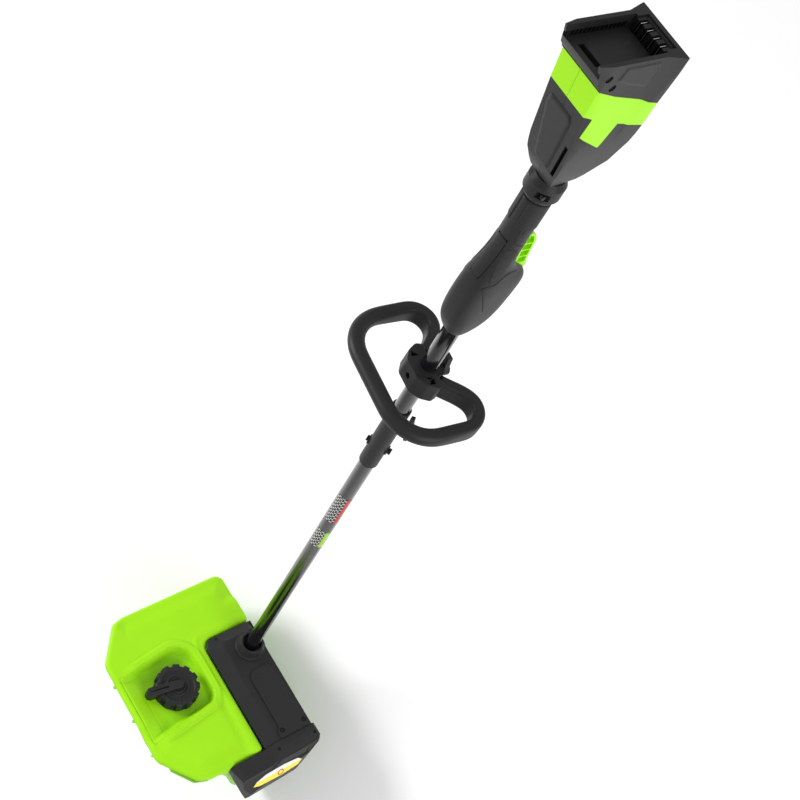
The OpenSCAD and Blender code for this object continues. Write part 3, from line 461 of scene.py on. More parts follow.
def step(v, a, b):
    """Eased step from 0 at a to 1 at b."""
    t = np.clip((v - a) / (b - a), 0, 1)
    return t * t * (3 - 2 * t)


# ---- Hood and well --------------------------------------------------------

ROOF_Z = -12.0
EDGE_R = 7.0
HOUSE_X = -45.0
HOUSE_Y = -64.0
HOOD_WALL = 3.2
TRAY_WALL = 2.4

# Relief of the hood's top, in mm
FACET_WIDTH = 31
FACET_RUN = 24
FACET_SLOPE = 0.27
RIM_RIDGE = 1.5
WELL_BEAD = 2.8
WELL_DEPTH = 15.0
HOUSE_BEAD = 1.1
HOUSE_DIP = 0.8
PLATE_LINE = 0.45

# Mesh spacing over the hood, and how far from the well and the plate line it is fine
COARSE = 4.0
FINE = 1.7
NEAR_WELL = 20
NEAR_LINE = 4

hood_corners = [(HOOD_X0, 30), (HOOD_X0, -162), (HOOD_X0 + 7, -182), (HOOD_X - 88, -226),
                (HOOD_X + 88, -226), (HOOD_X1 - 7, -182), (HOOD_X1, -162), (HOOD_X1, HOUSE_Y),
                (HOUSE_X, HOUSE_Y), (HOUSE_X, 30)]
hood_outline = resample(fillet(hood_corners, [16, 20, 16, 24, 24, 16, 20, 8, 16, 8], 6), 4)
well_corners = [(72, -216), (53, -94), (36, -87), (-42, -87), (-61, -112), (-47, -216)]
well_loop = resample(fillet(well_corners, [3, 22, 22, 30, 26, 3], 6), 3)
open_corners = [(75, -250), (53, -94), (36, -87), (-42, -87), (-61, -112), (-43, -250)]
well_open = fillet(open_corners, [0, 22, 22, 30, 26, 0], 6)
house_edge = np.array([(HOOD_X1, HOUSE_Y), (HOUSE_X, HOUSE_Y), (HOUSE_X, 30)], float)

# Blank name plate's outline in the well. The band leaves its front edge undrawn.
plate_corners = [(62, -217), (59.5, -191.5), (-38.5, -191.5), (-41, -217)]
plate_loop = resample(fillet(plate_corners, [0, 8, 8, 0], 5), 3)
plate_band = np.array([(-48, -215), (74, -215), (68, -184), (-48, -184)], float)


def hood_height(p):
    """Height of the hood's top, with sloping side facets, the bead and the sunk well."""
    x = p[:, 0]
    y = p[:, 1]
    edge = edge_distance(p, hood_outline)
    well = edge_distance(p, well_open, closed=False) * np.where(inside(p, well_open), -1, 1)
    house = edge_distance(p, house_edge, closed=False)
    fade = step(edge, EDGE_R, EDGE_R + 7)
    z = np.full(len(p), ROOF_Z)
    left = step(-x, 84, 100) * step(y, -178, -160)
    right = step(x, 30, 62) * step(-y, 76, 92)
    facet = np.maximum(left, right)
    z -= np.clip(FACET_WIDTH - edge, 0, FACET_RUN) * FACET_SLOPE * facet
    z += RIM_RIDGE * np.exp(-((edge - 8.5) / 2.6) ** 2) * facet
    bead = step(well, -4, 1) * (1 - step(well, 9, 12.5))
    z += WELL_BEAD * bead * step(y, -206, -180) * fade
    z += HOUSE_BEAD * step(house, 6, 9) * (1 - step(house, 13, 16)) * fade
    z -= HOUSE_DIP * step(8 - house, 0, 4) * fade
    z -= WELL_DEPTH * step(y, -230, -172) * step(-well, 0.0, 9.0)
    line = (np.abs(edge_distance(p, plate_loop)) < 1.0) * inside(p, plate_band)
    z -= PLATE_LINE * line
    return z


def hood_bottom(p):
    """Lower edge of the hood's walls and how far it leans in, at points of its outline."""
    x = p[:, 0]
    y = p[:, 1]
    prof = np.array([(-230, -28), (-142, -28), (-124, -62), (-109, -100), (-93, -142), (-72, -184),
                     (-27.3, -208.2), (-18.8, -208.6), (21.4, -172.4), (26.6, -154.3),
                     (30, -112)])
    z = np.interp(y, prof[:, 0], prof[:, 1])
    lean = 5.0 * step(-y, 144, 160)
    at_house = (x > HOUSE_X - 2) & (y > HOUSE_Y - 2) & (x < HOOD_X1 - 2)
    z = np.where(at_house | (y > 29.5), -22, z)
    z = np.where((y > 22) & (x < HOUSE_X - 3), -46, z)
    return z, lean


def hood_mesh():
    """The hood's walls and top, with the well's floor listed apart."""
    rim = inset(hood_outline, EDGE_R)
    rim_h = hood_height(rim)
    n = len(hood_outline)
    rings = []
    bottom, lean = hood_bottom(hood_outline)
    drop = rim_h - ROOF_Z
    top = ROOF_Z - EDGE_R + drop
    rows = 5
    for k in range(rows, 0, -1):
        t = k / rows
        moved = hood_outline + (inset(hood_outline, 1.0) - hood_outline) * (lean * t)[:, None]
        rings.append(np.column_stack([moved, top + (bottom - top) * t]))
    for k in range(7):
        t = math.pi / 2 * k / 6
        o = inset(hood_outline, EDGE_R * (1 - math.cos(t)))
        rings.append(np.column_stack([o, ROOF_Z - EDGE_R + EDGE_R * math.sin(t) + drop]))
    verts, faces = rings_mesh(rings, False, False)
    base = len(verts)
    pts = [tuple(q) for q in rim]
    edges = [(i, (i + 1) % n) for i in range(n)]
    m = len(well_loop)
    pts += [tuple(q) for q in well_loop]
    edges += [(n + i, n + (i + 1) % m) for i in range(m)]
    gx, gy = np.meshgrid(np.arange(HOOD_X0 + 2, HOOD_X1, COARSE), np.arange(-224, 30, COARSE))
    coarse = np.stack([gx.ravel(), gy.ravel()], 1)
    gx, gy = np.meshgrid(np.arange(-80, 92, FINE), np.arange(-212, -66, FINE))
    fine = np.stack([gx.ravel(), gy.ravel()], 1)
    d_fine = edge_distance(fine, well_loop)
    near = (d_fine < NEAR_WELL) & (d_fine > 0.8) | (edge_distance(fine, plate_loop) < NEAR_LINE)
    d_coarse = edge_distance(coarse, well_loop)
    in_well = inside(coarse, well_loop) | (d_coarse < NEAR_WELL)
    plate_near = edge_distance(coarse, plate_loop) < NEAR_LINE
    inner = inside(coarse, rim) & (edge_distance(coarse, rim) > 1.5)
    wide = inside(fine, rim) & (edge_distance(fine, rim) > 1.5)
    pts += [tuple(q) for q in coarse[inner & ~in_well]]
    pts += [tuple(q) for q in fine[near & wide]]
    deep = inside(coarse, well_loop) & (d_coarse >= NEAR_WELL) & ~plate_near
    pts += [tuple(q) for q in coarse[deep]]
    out = delaunay_2d_cdt([Vector(q) for q in pts], edges, [list(range(n))], 1, 1e-5)
    flat = np.array([tuple(v) for v in out[0]])
    heights = hood_height(flat)
    on_rim = edge_distance(flat, rim) < 0.01
    nearest = ((flat[:, None, :] - rim[None]) ** 2).sum(2).argmin(1)
    heights = np.where(on_rim, rim_h[nearest], heights)
    top = np.column_stack([flat, heights])
    tris = []
    well_tris = []
    centres = np.array([flat[list(f)].mean(0) for f in out[2]])
    sunk = inside(centres, well_loop)
    for f, s in zip(out[2], sunk):
        a, b, c = [flat[i] for i in f[:3]]
        if (b[0] - a[0]) * (c[1] - a[1]) - (b[1] - a[1]) * (c[0] - a[0]) < 0:
            f = list(f)[::-1]
        (well_tris if s else tris).append(tuple(f))
    faces = [tuple(f) for f in faces] + [tuple(base + i for i in f) for f in tris]
    verts = np.concatenate([verts, top])
    return verts, faces, top, well_tris


def tidy_mesh(o, merge=0.02):
    """Joins matching points, drops loose ones and points the faces outward."""
    bm = bmesh.new()
    bm.from_mesh(o.data)
    bmesh.ops.remove_doubles(bm, verts=bm.verts, dist=merge * MM)
    loose = [v for v in bm.verts if not v.link_faces]
    bmesh.ops.delete(bm, geom=loose, context="VERTS")
    bmesh.ops.recalc_face_normals(bm, faces=bm.faces)
    bm.to_mesh(o.data)
    bm.free()
    o.data.polygons.foreach_set("use_smooth", [True] * len(o.data.polygons))
    o.data.update()


def thicken(o, t):
    """Gives a sheet its wall, inward, as a modifier."""
    s = o.modifiers.new("wall", "SOLIDIFY")
    s.thickness = t * MM
    s.offset = -1
    s.use_even_offset = False


hv, hf, top_verts, well_faces = hood_mesh()
hood = build("hood_shell", hv, hf, "green", "frame", "hood")
tidy_mesh(hood)
thicken(hood, HOOD_WALL)
tray = build("well_tray_shell", top_verts, well_faces, "green", "frame", "well_tray")
tidy_mesh(tray)
thicken(tray, TRAY_WALL)
side = [(-66, -79), (-66, -190), (-27.3, -208.2), (-18.8, -208.6), (21.4, -172.4),
        (26.6, -154.3), (30, -112), (30, -79)]
side_rings = [np.array([(x, y, z) for y, z in side]) for x in (HOOD_X1 - 3.5, HOOD_X1)]
sv, sf = rings_mesh(side_rings)
build("hood_drive_wall", sv, sf, "green_deep", "frame")

# ---- Drive housing cover --------------------------------------------------

HOUSE_X1 = 160.4
cover_corners = [(-43.8, 26), (-43.8, -62.8), (HOUSE_X1, -62.8), (HOUSE_X1, 26)]
cover_loop = resample(fillet(cover_corners, [4, 17, 0, 0], 8), 5)
flat_corners = [(-25, 22.5), (-25, -40), (HOUSE_X1, -40), (HOUSE_X1, 22.5)]
flat_loop = fillet(flat_corners, [3, 9, 0, 0], 8)


def nearest_on(loop, p):
    """Point of an outline that is nearest to p."""
    best = None
    for i in range(len(loop)):
        a = loop[i]
        b = loop[(i + 1) % len(loop)]
        ab = b - a
        t = min(1, max(0, float((p - a) @ ab) / max(float(ab @ ab), 1e-9)))
        q = a + ab * t
        d = float(np.linalg.norm(p - q))
        if best is None or d < best[0]:
            best = (d, q)
    return best[1]


def cover_rings():
    """Rings from the cover's skirt over the slope to its flat top."""
    target = np.array([nearest_on(flat_loop, p) for p in cover_loop])
    # How far each ring has moved toward the flat top, and its height
    rows = [(0.0, -14.0), (0.0, -12.4), (0.03, -11.2), (0.10, -10.4), (0.5, -6.1), (0.86, -1.7),
            (0.94, -0.7), (1.0, -0.25)]
    rings = []
    for t, z in rows:
        p = cover_loop + (target - cover_loop) * t
        rings.append(np.column_stack([p, np.full(len(p), z)]))
    inner = target + (np.array([60.0, -8.0]) - target) * 0.04
    rings.append(np.column_stack([inner, np.full(len(inner), 0.0)]))
    return rings


cv, cf = rings_mesh(cover_rings())
cover = build("housing_cover_shell", cv, cf, "black", "frame", "housing_cover")


def disc(x, y, z0, z1, r, n=48):
    """Upright cylinder, for cutting holes."""
    a = np.linspace(0, 2 * math.pi, n, endpoint=False)
    ring = np.column_stack([x + r * np.cos(a), y + r * np.sin(a)])
    return rings_mesh([np.column_stack([ring, np.full(n, z)]) for z in (z0, z1)])


for sx, sy in ((-38, 25), (-38, -42)):
    cut(cover, *disc(sx, sy, -12, 4, 3.0, 24))
panel = fillet([(41, 15), (41, -27), (141, -27), (150, -33.5), (158.6, -33.5), (158.6, 20.5),
                (150, 20.5)][::-1], [3, 3, 3, 6, 8, 13, 10], 6)
pv, pf = plate(resample(panel, 4), -2.0, 2.1, 1.9, 5)
raised = build("cover_plate_panel", pv, pf, "black", "frame", "cover_plate")
for sx, sy in ((149, 15.5), (149, -26.5)):
    cut(raised, *disc(sx, sy, -0.2, 4, 4.2, 24))

# ---- Aim knob -------------------------------------------------------------

KNOB_X, KNOB_Y, KNOB_Z0 = 4.0, -139.0, -26.0
KNOB_TEETH = 12
KNOB_TURN = -10.0


def knob_place(p):
    """Knob frame to row-frame metres."""
    a = math.radians(KNOB_TURN)
    p = np.asarray(p, float)
    x = p[:, 0] * math.cos(a) - p[:, 1] * math.sin(a)
    y = p[:, 0] * math.sin(a) + p[:, 1] * math.cos(a)
    return world(np.stack([x + KNOB_X, y + KNOB_Y, p[:, 2] + KNOB_Z0], 1))


def knob_mesh():
    """The knob turned round its axis, with grip notches in its rim."""
    n = KNOB_TEETH * 24
    a = np.linspace(0, 2 * math.pi, n, endpoint=False)
    wave = np.cos(KNOB_TEETH * a)
    notch = step(wave, 0.12, 0.34)
    # Radius, height and notch depth, from the underside over the rim to the middle
    rows = [(4, 0.6, 0), (34, 0.6, 0), (36.6, 1.2, 0.2), (37.4, 2.4, 1.2), (37.5, 3.4, 4.2),
            (37.4, 8, 4.4), (37.2, 16.5, 4.2), (36.6, 18.4, 3.8), (35.4, 19.8, 3.0),
            (33.8, 20.8, 1.8), (31.6, 21.4, 0.4), (29, 22.0, 0), (27.8, 22.0, 0),
            (27.2, 21.4, 0), (26.6, 20.2, 0),
            (25.4, 19.8, 0), (19.8, 19.8, 0), (19.1, 20.2, 0), (18.6, 21.3, 0), (18.0, 21.7, 0),
            (16.4, 21.7, 0), (15.8, 21.2, 0), (15.2, 20.0, 0), (13.9, 20.0, 0), (13.3, 21.2, 0),
            (12.7, 21.6, 0), (11.5, 21.6, 0), (10.9, 21.2, 0), (10.3, 20.4, 0), (2, 20.4, 0)]
    rings = []
    for r, z, d in rows:
        rr = r - d * notch
        rings.append(np.column_stack([rr * np.cos(a), rr * np.sin(a), np.full(n, z)]))
    return rings_mesh(rings)


kv, kf = knob_mesh()
build("aim_knob_body", kv, kf, "black", "aim", "aim_knob", place=knob_place)
bar = fillet([(-8.0, -53.5), (8.0, -53.5), (6.8, 9.5), (-6.8, 9.5)], [7.2, 7.2, 6.6, 6.6], 8)
bv, bf = plate(resample(bar, 3), 6.0, 26.0, 2.2, 4)
bv = np.asarray(bv)
bv[:, 2] = np.where(bv[:, 2] > 8, bv[:, 2] - 2.2 * step(-bv[:, 1], 24, 54), bv[:, 2])
pointer = build("aim_knob_pointer", bv, bf, "black", "aim", place=knob_place)
groove = fillet([(-1.3, -47), (1.3, -47), (1.3, -16), (-1.3, -16)], 1.2, 4)
gv, gf = rings_mesh([np.column_stack([groove, np.full(len(groove), z)]) for z in (23.2, 30)])
cut(pointer, gv, gf, place=knob_place)

# ---- Loop handle ----------------------------------------------------------

LOOP_Z, LOOP_TURN, LOOP_TILT = 852.0, math.radians(7.7), math.radians(3.3)


def loop_place(p):
    """Loop frame, with y toward the front, to row-frame metres."""
    p = np.asarray(p, float).reshape(-1, 3)
    x, y, z = p[:, 0], -p[:, 1], p[:, 2]
    ct, st = math.cos(-LOOP_TILT), math.sin(-LOOP_TILT)
    y, z = y * ct - z * st, y * st + z * ct
    ca, sa = math.cos(-LOOP_TURN), math.sin(-LOOP_TURN)
    x, y = x * ca - y * sa, x * sa + y * ca
    return world(np.stack([x, y, z + LOOP_Z], 1))


def arc(cx, cy, r, a0, a1, n):
    """Points along a circle between two angles in degrees."""
    t = np.radians(np.linspace(a0, a1, n))
    return [(cx + r * math.cos(q), cy + r * math.sin(q)) for q in t]


def loop_path():
    """Centre line of the loop, from one clamp end round the front to the other."""
    half = [(20, -6), (26, -12), (33, -20.5), (40, -28.5)]
    half += arc(62.5, -14, 26, -122, 0, 16)
    half += [(88.5, -4), (88.5, 8), (88.5, 18)]
    half += arc(38.5, 24.5, 50, 0, 90, 18)
    half += [(26, 74.5), (13, 74.5)]
    other = [(-x, y) for x, y in half[::-1]]
    return np.array(half + [(0, 74.5)] + other, float)


def sweep(path, section, n=40):
    """Bar along a flat path whose section changes with the distance from its ends."""
    t = np.gradient(path, axis=0)
    t /= np.linalg.norm(t, axis=1)[:, None]
    run = np.concatenate([[0], np.cumsum(np.linalg.norm(np.diff(path, axis=0), axis=1))])
    rings = []
    a = np.linspace(0, 2 * math.pi, n, endpoint=False)
    for i, p in enumerate(path):
        rx, rz, e = section(min(run[i], run[-1] - run[i]))
        c, s = np.cos(a), np.sin(a)
        u = rx * np.sign(c) * np.abs(c) ** (2 / e)
        w = rz * np.sign(s) * np.abs(s) ** (2 / e)
        nrm = np.array([-t[i, 1], t[i, 0]])
        xy = p + u[:, None] * nrm
        rings.append(np.column_stack([xy, w]))
    return rings_mesh(rings)


def loop_section(run):
    """Half width, half height and squareness: tall and square at the clamp, then round."""
    k = float(step(np.array([run]), 60, 165)[0])
    return 7.6 + 3.1 * k, 14.0 - 3.3 * k, 5.0 - 3.0 * k


full_path = loop_path()
dense = [full_path[0]]
for a, b in zip(full_path[:-1], full_path[1:]):
    m = max(1, int(np.linalg.norm(b - a) / 4))
    for k in range(1, m + 1):
        dense.append(a + (b - a) * k / m)
for _ in range(3):
    dense = [dense[0]] + [(dense[i - 1] + 2 * dense[i] + dense[i + 1]) / 4
                          for i in range(1, len(dense) - 1)] + [dense[-1]]
lv, lf = sweep(np.array(dense), loop_section)
build("loop_handle", lv, lf, "black", "loop", "loop_bar", place=loop_place)

# ---- Clamp ----------------------------------------------------------------

clamp_corners = [(-30, -8), (-10, -2.5), (10, -2.5), (30, -8), (34, 3), (27, 16), (14, 25.5),
                 (-14, 25.5), (-27, 16), (-34, 3)]
clamp_loop = resample(fillet(clamp_corners, [4, 1, 1, 4, 7, 12, 10, 10, 12, 7], 5), 3)


def slab(outline, z0, z1, r, steps=4):
    """Slab with both edges rounded."""
    rings = []
    for k in range(steps, -1, -1):
        t = math.pi / 2 * k / steps
        o = inset(outline, r * (1 - math.cos(t)))
        rings.append(np.column_stack([o, np.full(len(o), z0 + r - r * math.sin(t))]))
    for k in range(steps + 1):
        t = math.pi / 2 * k / steps
        o = inset(outline, r * (1 - math.cos(t)))
        rings.append(np.column_stack([o, np.full(len(o), z1 - r + r * math.sin(t))]))
    return rings_mesh(rings)


mv, mf = slab(clamp_loop, -15, 15, 1.8)
clamp = build("clamp_block", mv, mf, "black", "loop", "clamp_body", place=loop_place)
# Two overlapping sets of lightening pockets, the bore, its wider mouth and the bolt hole
POCKETS = ([(27, 5), (17.5, 5), (26, 13)], [(16, 7), (25, 15), (16.5, 18)])
for s in (-1, 1):
    for tri in POCKETS:
        ring = fillet([(s * x, y) for x, y in tri], 0.6, 3)
        cut(clamp, *rings_mesh([np.column_stack([ring, np.full(len(ring), z)]) for z in (4, 20)]),
            place=loop_place)
cut(clamp, *disc(0, 0, -30, 30, 11.3), place=loop_place)
cut(clamp, *disc(0, 0, 8, 30, 15.2), place=loop_place)
for side_x in (-1, 1):
    for tri in ([(13.5, 16), (19.5, 10.4), (17.5, 4.0)], [(20.6, 11.4), (27, 4.2), (18.8, 3.2)]):
        t3 = np.array([(side_x * x, y) for x, y in tri], float)
        tv, tf = rings_mesh([np.column_stack([t3, np.full(3, z)]) for z in (4, 30)])
        cut(clamp, tv, tf, place=loop_place)
hole = [np.array([(4.0 * math.cos(q), y, 4.0 * math.sin(q))
                  for q in np.linspace(0, 2 * math.pi, 24, endpoint=False)]) for y in (20, 40)]
ev, ef = rings_mesh(hole)
cut(clamp, ev, ef, place=loop_place)

# ---- Rear handle ----------------------------------------------------------

# Stations up the tube: z, half width, upper edge y, lower edge y, squareness
HANDLE = [(953.0, 13.0, -12.5, 12.0, 2.2), (955, 15.5, -15.5, 15, 2.3),
          (962, 18.2, -19.8, 22, 2.5), (972, 20.2, -24.6, 32.5, 2.8),
          (984, 21.4, -28.0, 38.5, 3.0), (1000, 22.0, -29.6, 42.5, 3.1),
          (1015, 22.0, -30.0, 45.2, 3.2), (1030, 22.0, -29.8, 47.6, 3.2),
          (1044, 22.0, -29.2, 49.6, 3.1), (1052, 21.6, -28.6, 49.4, 3.0),
          (1058, 21.2, -28.0, 46.5, 2.9), (1064, 20.6, -26.6, 38, 2.7),
          (1072, 19.6, -24.8, 29, 2.5), (1082, 18.2, -22.2, 21.5, 2.3),
          (1095, 17.2, -19.6, 18.2, 2.15), (1110, 16.8, -17.2, 17.2, 2.1),
          (1130, 16.6, -16.4, 16.8, 2.05), (1160, 16.6, -16.4, 16.6, 2.0),
          (1196.0, 16.6, -16.4, 16.6, 2.0)]


def station(z):
    """The handle's section at a height, between the listed stations."""
    tab = np.array(HANDLE)
    return [np.interp(z, tab[:, 0], tab[:, k]) for k in range(1, 5)]


def smooth_station(z, reach=5.0):
    """The section averaged over a short length, so that stations leave no ridge."""
    low = np.array(station(max(953, z - reach)))
    mid = np.array(station(z))
    high = np.array(station(min(1196, z + reach)))
    return (low + 2 * mid + high) / 4 if 962 < z < 1190 else mid


def handle_point(a, z):
    """Point of the handle's surface at an angle round it and a height."""
    w, front, back, e = smooth_station(z)
    c, s = math.cos(a), math.sin(a)
    x = w * math.copysign(abs(c) ** (2 / e), c)
    yc = (front + back) / 2
    ry = (back - front) / 2
    y = yc + ry * math.copysign(abs(s) ** (2 / e), s)
    return (x, y, z)


def handle_solid(heights, n=72):
    """The whole handle, as rings at the given heights."""
    ang = np.linspace(0, 2 * math.pi, n, endpoint=False) + 1e-3
    rings = [np.array([handle_point(q, z) for q in ang]) for z in heights]
    return rings_mesh(rings)


ring_heights = sorted(set([953, 953.8, 955, 957, 960] + list(range(963, 1110, 4)) +
                          list(range(1112, 1197, 7)) + [1196]))
hv2, hf2 = handle_solid(ring_heights)
# Each half keeps its own side, with room for the switch and trigger and for the lock lever
for name, node, low, high in (("handle_shell_left", "handle_left", 0.12, 80),
                              ("handle_shell_right", "handle_right", -80, -0.12)):
    half = build(name, hv2, hf2, "black", "frame", node)
    cut(half, *box_mesh((low, -90, 900), (high, 90, 1250)))
    cut(half, *box_mesh((-7.5, -8, 1056), (7.5, 60, 1128)))
    cut(half, *box_mesh((-7.5, 24, 1040), (7.5, 60, 1057)))
    cut(half, *box_mesh((-7.9, -40, 1066), (7.9, -7.9, 1130)))

# ---- Cooling slats above the end sticker ----------------------------------

SLATS = 5
SLAT_NORMAL = (0.94, 0.34)
SLAT_TOP = (188.4, -8.5)
SLAT_FALL = (4.2, -12.0)
SLAT_SHADE_AT = (190.4, -14.8)


def slat_ring(x0, z0, outline, h):
    """Outline of (y, w) points laid on the end cap's slope, h above it."""
    nx, nz = SLAT_NORMAL
    return np.array([(x0 + h * nx + w * nz, y, z0 + h * nz - w * nx) for y, w in outline])


for k in range(SLATS):
    t = (k + 0.5) / SLATS
    x0 = SLAT_TOP[0] + SLAT_FALL[0] * t
    z0 = SLAT_TOP[1] + SLAT_FALL[1] * t
    rib = fillet([(-49 - 3 * k, -0.6), (4 - k, -0.6), (4 - k, 0.6), (-49 - 3 * k, 0.6)],
                 0.5, 3)
    rib_rings = [slat_ring(x0, z0, rib, h) for h in (-1.0, 1.2)]
    # The ribs take the lighter slat material, a painted highlight on the ribs
    build("end_cap_slat_%d" % (k + 1), *rings_mesh(rib_rings), "slat", "frame")
# Darkest black sheet just above the cap under the ribs: painted shade in the gaps between the slats
slat_shade_outline = fillet([(-50, -6.2), (5, -6.2), (1, 6.2), (-62, 6.2)], 2, 3)
slat_shade_rings = [slat_ring(*SLAT_SHADE_AT, slat_shade_outline, h) for h in (-1.2, 0.15)]
build("slat_painted_shade", *rings_mesh(slat_shade_rings), "black_deep", "frame")

# ---- Surface patches ------------------------------------------------------


def handle_side_x(y, z):
    """Half width of the handle at a height and a distance toward its upper side."""
    w, front, back, e = smooth_station(z)
    ry = (back - front) / 2
    q = abs((y - (front + back) / 2) / ry)
    return w * max(0.0, 1 - min(q, 1.0) ** e) ** (1 / e)


def normal_of(surf, a, b, outward, h=0.4):
    """Outward unit normal of a surface given as surf(a, b) -> (x, y, z)."""
    du = np.array(surf(a + h, b)) - np.array(surf(a - h, b))
    dv = np.array(surf(a, b + h)) - np.array(surf(a, b - h))
    n = np.cross(du, dv)
    n = n / max(float(np.linalg.norm(n)), 1e-9)
    return -n if n @ np.array(outward) < 0 else n


def patch(name, outline, surf, lift, mat, body, outward, depth=0.8, spacing=3.0, edge=0.7,
          replaced=()):
    """Thin cover lying on a surface: a rounded-edged slab that follows it."""
    loop = resample(np.array(outline, float), spacing * 0.7)
    area = np.sum(loop[:, 0] * np.roll(loop[:, 1], -1) - np.roll(loop[:, 0], -1) * loop[:, 1])
    if area < 0:
        loop = loop[::-1]
    inner = inset(loop, edge)
    low = loop.min(0)
    high = loop.max(0)
    gx, gy = np.meshgrid(np.arange(low[0], high[0], spacing), np.arange(low[1], high[1], spacing))
    grid = np.stack([gx.ravel(), gy.ravel()], 1)
    grid = grid[inside(grid, inner)]
    grid = grid[edge_distance(grid, inner) > spacing * 0.35]
    n = len(inner)
    pts = [Vector(q) for q in inner] + [Vector(q) for q in grid]
    out = delaunay_2d_cdt(pts, [(i, (i + 1) % n) for i in range(n)], [list(range(n))], 1, 1e-5)
    flat = np.array([tuple(v) for v in out[0]])

    def raised(points, height):
        r = []
        for a, b in points:
            r.append(np.array(surf(a, b)) + normal_of(surf, a, b, outward) * height)
        return np.array(r)

    top = raised(flat, lift)
    keys = {tuple(np.round(q, 4)): i for i, q in enumerate(flat)}
    order = []
    for q in inner:
        i = keys.get(tuple(np.round(q, 4)))
        if i is None:
            i = int(((flat - q) ** 2).sum(1).argmin())
        order.append(i)
    mid = raised(loop, lift - edge * 0.55)
    foot = raised(loop, -depth)
    base = raised(flat, -depth)
    m = len(flat)
    verts = np.concatenate([top, mid, foot, base])
    faces = [tuple(f) for f in out[2]]
    for i in range(n):
        j = (i + 1) % n
        faces.append((order[i], order[j], m + j, m + i))
        faces.append((m + i, m + j, m + n + j, m + n + i))
        faces.append((m + n + i, m + n + j, m + 2 * n + order[j], m + 2 * n + order[i]))
    faces += [tuple(m + 2 * n + i for i in f) for f in out[2]]
    o = build(name, verts, faces, mat, body, *replaced)
    bm = bmesh.new()
    bm.from_mesh(o.data)
    bmesh.ops.recalc_face_normals(bm, faces=bm.faces)
    bm.to_mesh(o.data)
    bm.free()


def seam(name, points, surf, outward, body, radius=0.35, mat="black_deep", closed=False):
    """Fine groove line drawn as a dark thread half sunk in a surface."""
    sides = 8
    p = np.array(points, float)
    if closed:
        dense_line = resample(p, 2.0)
    else:
        rows = []
        for a, b in zip(p[:-1], p[1:]):
            m = max(1, int(np.linalg.norm(b - a) / 2))
            rows += [a + (b - a) * k / m for k in range(m)]
        dense_line = np.array(rows + [p[-1]])
    pos = []
    nor = []
    for a, b in dense_line:
        nn = normal_of(surf, a, b, outward)
        pos.append(np.array(surf(a, b)) + nn * 0.02)
        nor.append(nn)
    pos = np.array(pos)
    nor = np.array(nor)
    if closed:
        tan = np.roll(pos, -1, 0) - np.roll(pos, 1, 0)
    else:
        tan = np.gradient(pos, axis=0)
    tan /= np.maximum(np.linalg.norm(tan, axis=1)[:, None], 1e-9)
    side = np.cross(tan, nor)
    rings = []
    for q, nn, ss in zip(pos, nor, side):
        rings.append(np.array([q + radius * (math.cos(t) * nn + math.sin(t) * ss)
                               for t in np.linspace(0, 2 * math.pi, sides, endpoint=False)]))
    if closed:
        verts, faces = rings_mesh(rings, False, False)
        last = (len(rings) - 1) * sides
        faces += [(last + i, last + (i + 1) % sides, (i + 1) % sides, i) for i in range(sides)]
    else:
        verts, faces = rings_mesh(rings)
    build(name, verts, faces, mat, body)


def handle_right_surf(y, z):
    """Right side of the handle, at a y and a height."""
    return (handle_side_x(y, z), y, z)


SIDE = (1, -0.2, 0)
cover_outline = fillet([(-21.5, 1057), (-1.5, 1009.5), (18.5, 1009), (29, 1027), (28, 1058),
                        (23, 1071), (3, 1079), (-7, 1063)], [2, 4, 8, 14, 14, 3, 12, 8], 5)
patch("side_cover_skin", cover_outline, handle_right_surf, 0.55, "black", "frame", SIDE,
      replaced=("side_cover",))
seam("side_cover_seam", resample(cover_outline, 3)[::-1], handle_right_surf, SIDE, "frame", 0.5,
     closed=True)
grip_outline = fillet([(-17.2, 1064), (-16.4, 1078), (-13, 1117), (-6, 1122), (3.6, 1113),
                       (1, 1098), (-3, 1075), (-8, 1066)], [3, 14, 5, 6, 5, 14, 10, 4], 5)
patch("grip_texture_pad", grip_outline, handle_right_surf, 0.45, "grip", "frame", SIDE)
seam("grip_line", [(-12, 1195), (-11, 1140), (-10, 1131), (-5, 1127), (2.5, 1125)],
     handle_right_surf, SIDE, "frame", 0.4)
seam("grip_line_inner", [(-6, 1195), (-7.5, 1146)], handle_right_surf, SIDE, "frame", 0.4)


OTHER_SIDE = (-1, -0.2, 0)


def handle_left_surf(y, z):
    """Left side of the handle, at a y and a height."""
    return (-handle_side_x(y, z), y, z)


patch("left_cover_skin", cover_outline[::-1], handle_left_surf, 0.55, "black", "frame",
      OTHER_SIDE)
patch("left_grip_pad", grip_outline[::-1], handle_left_surf, 0.45, "grip", "frame", OTHER_SIDE)


def handle_top_surf(x, z):
    """Upper side of the handle, at an x and a height."""
    w, front, back, e = smooth_station(z)
    ry = (back - front) / 2
    q = min(abs(x / w), 1.0)
    return (x, (front + back) / 2 - ry * (1 - q ** e) ** (1 / e), z)


lever_outline = fillet([(-7.3, 1066.6), (7.3, 1066.6), (7.3, 1129.4), (-7.3, 1129.4)],
                       [2, 2, 4, 4], 4)
patch("lock_lever_skin", lever_outline, handle_top_surf, 0.7, "black", "lock_body", (0, -1, 0),
      depth=3.5, replaced=("lock_lever",))

# ---- Battery end ----------------------------------------------------------

# Upper side of the battery shell: z up the tube and y
SHELL_SIDE = np.array([(1231, -18), (1240, -23), (1256, -31), (1306, -42), (1358, -54),
                       (1397, -59), (1405, -66), (1430.4, -76)], float)


def shell_top_surf(x, z):
    """Upper side of the battery shell, at an x and a height."""
    return (x, float(np.interp(z, SHELL_SIDE[:, 0], SHELL_SIDE[:, 1])), z)


front_panel = fillet([(-19, 1343), (13.5, 1343), (16, 1336), (10.5, 1257), (-12, 1257),
                      (-21, 1330)], [3, 3, 3, 4, 6, 6], 5)
patch("shell_raised_panel", front_panel, shell_top_surf, 1.2, "black", "frame", (0, -1, 0),
      edge=1.6)

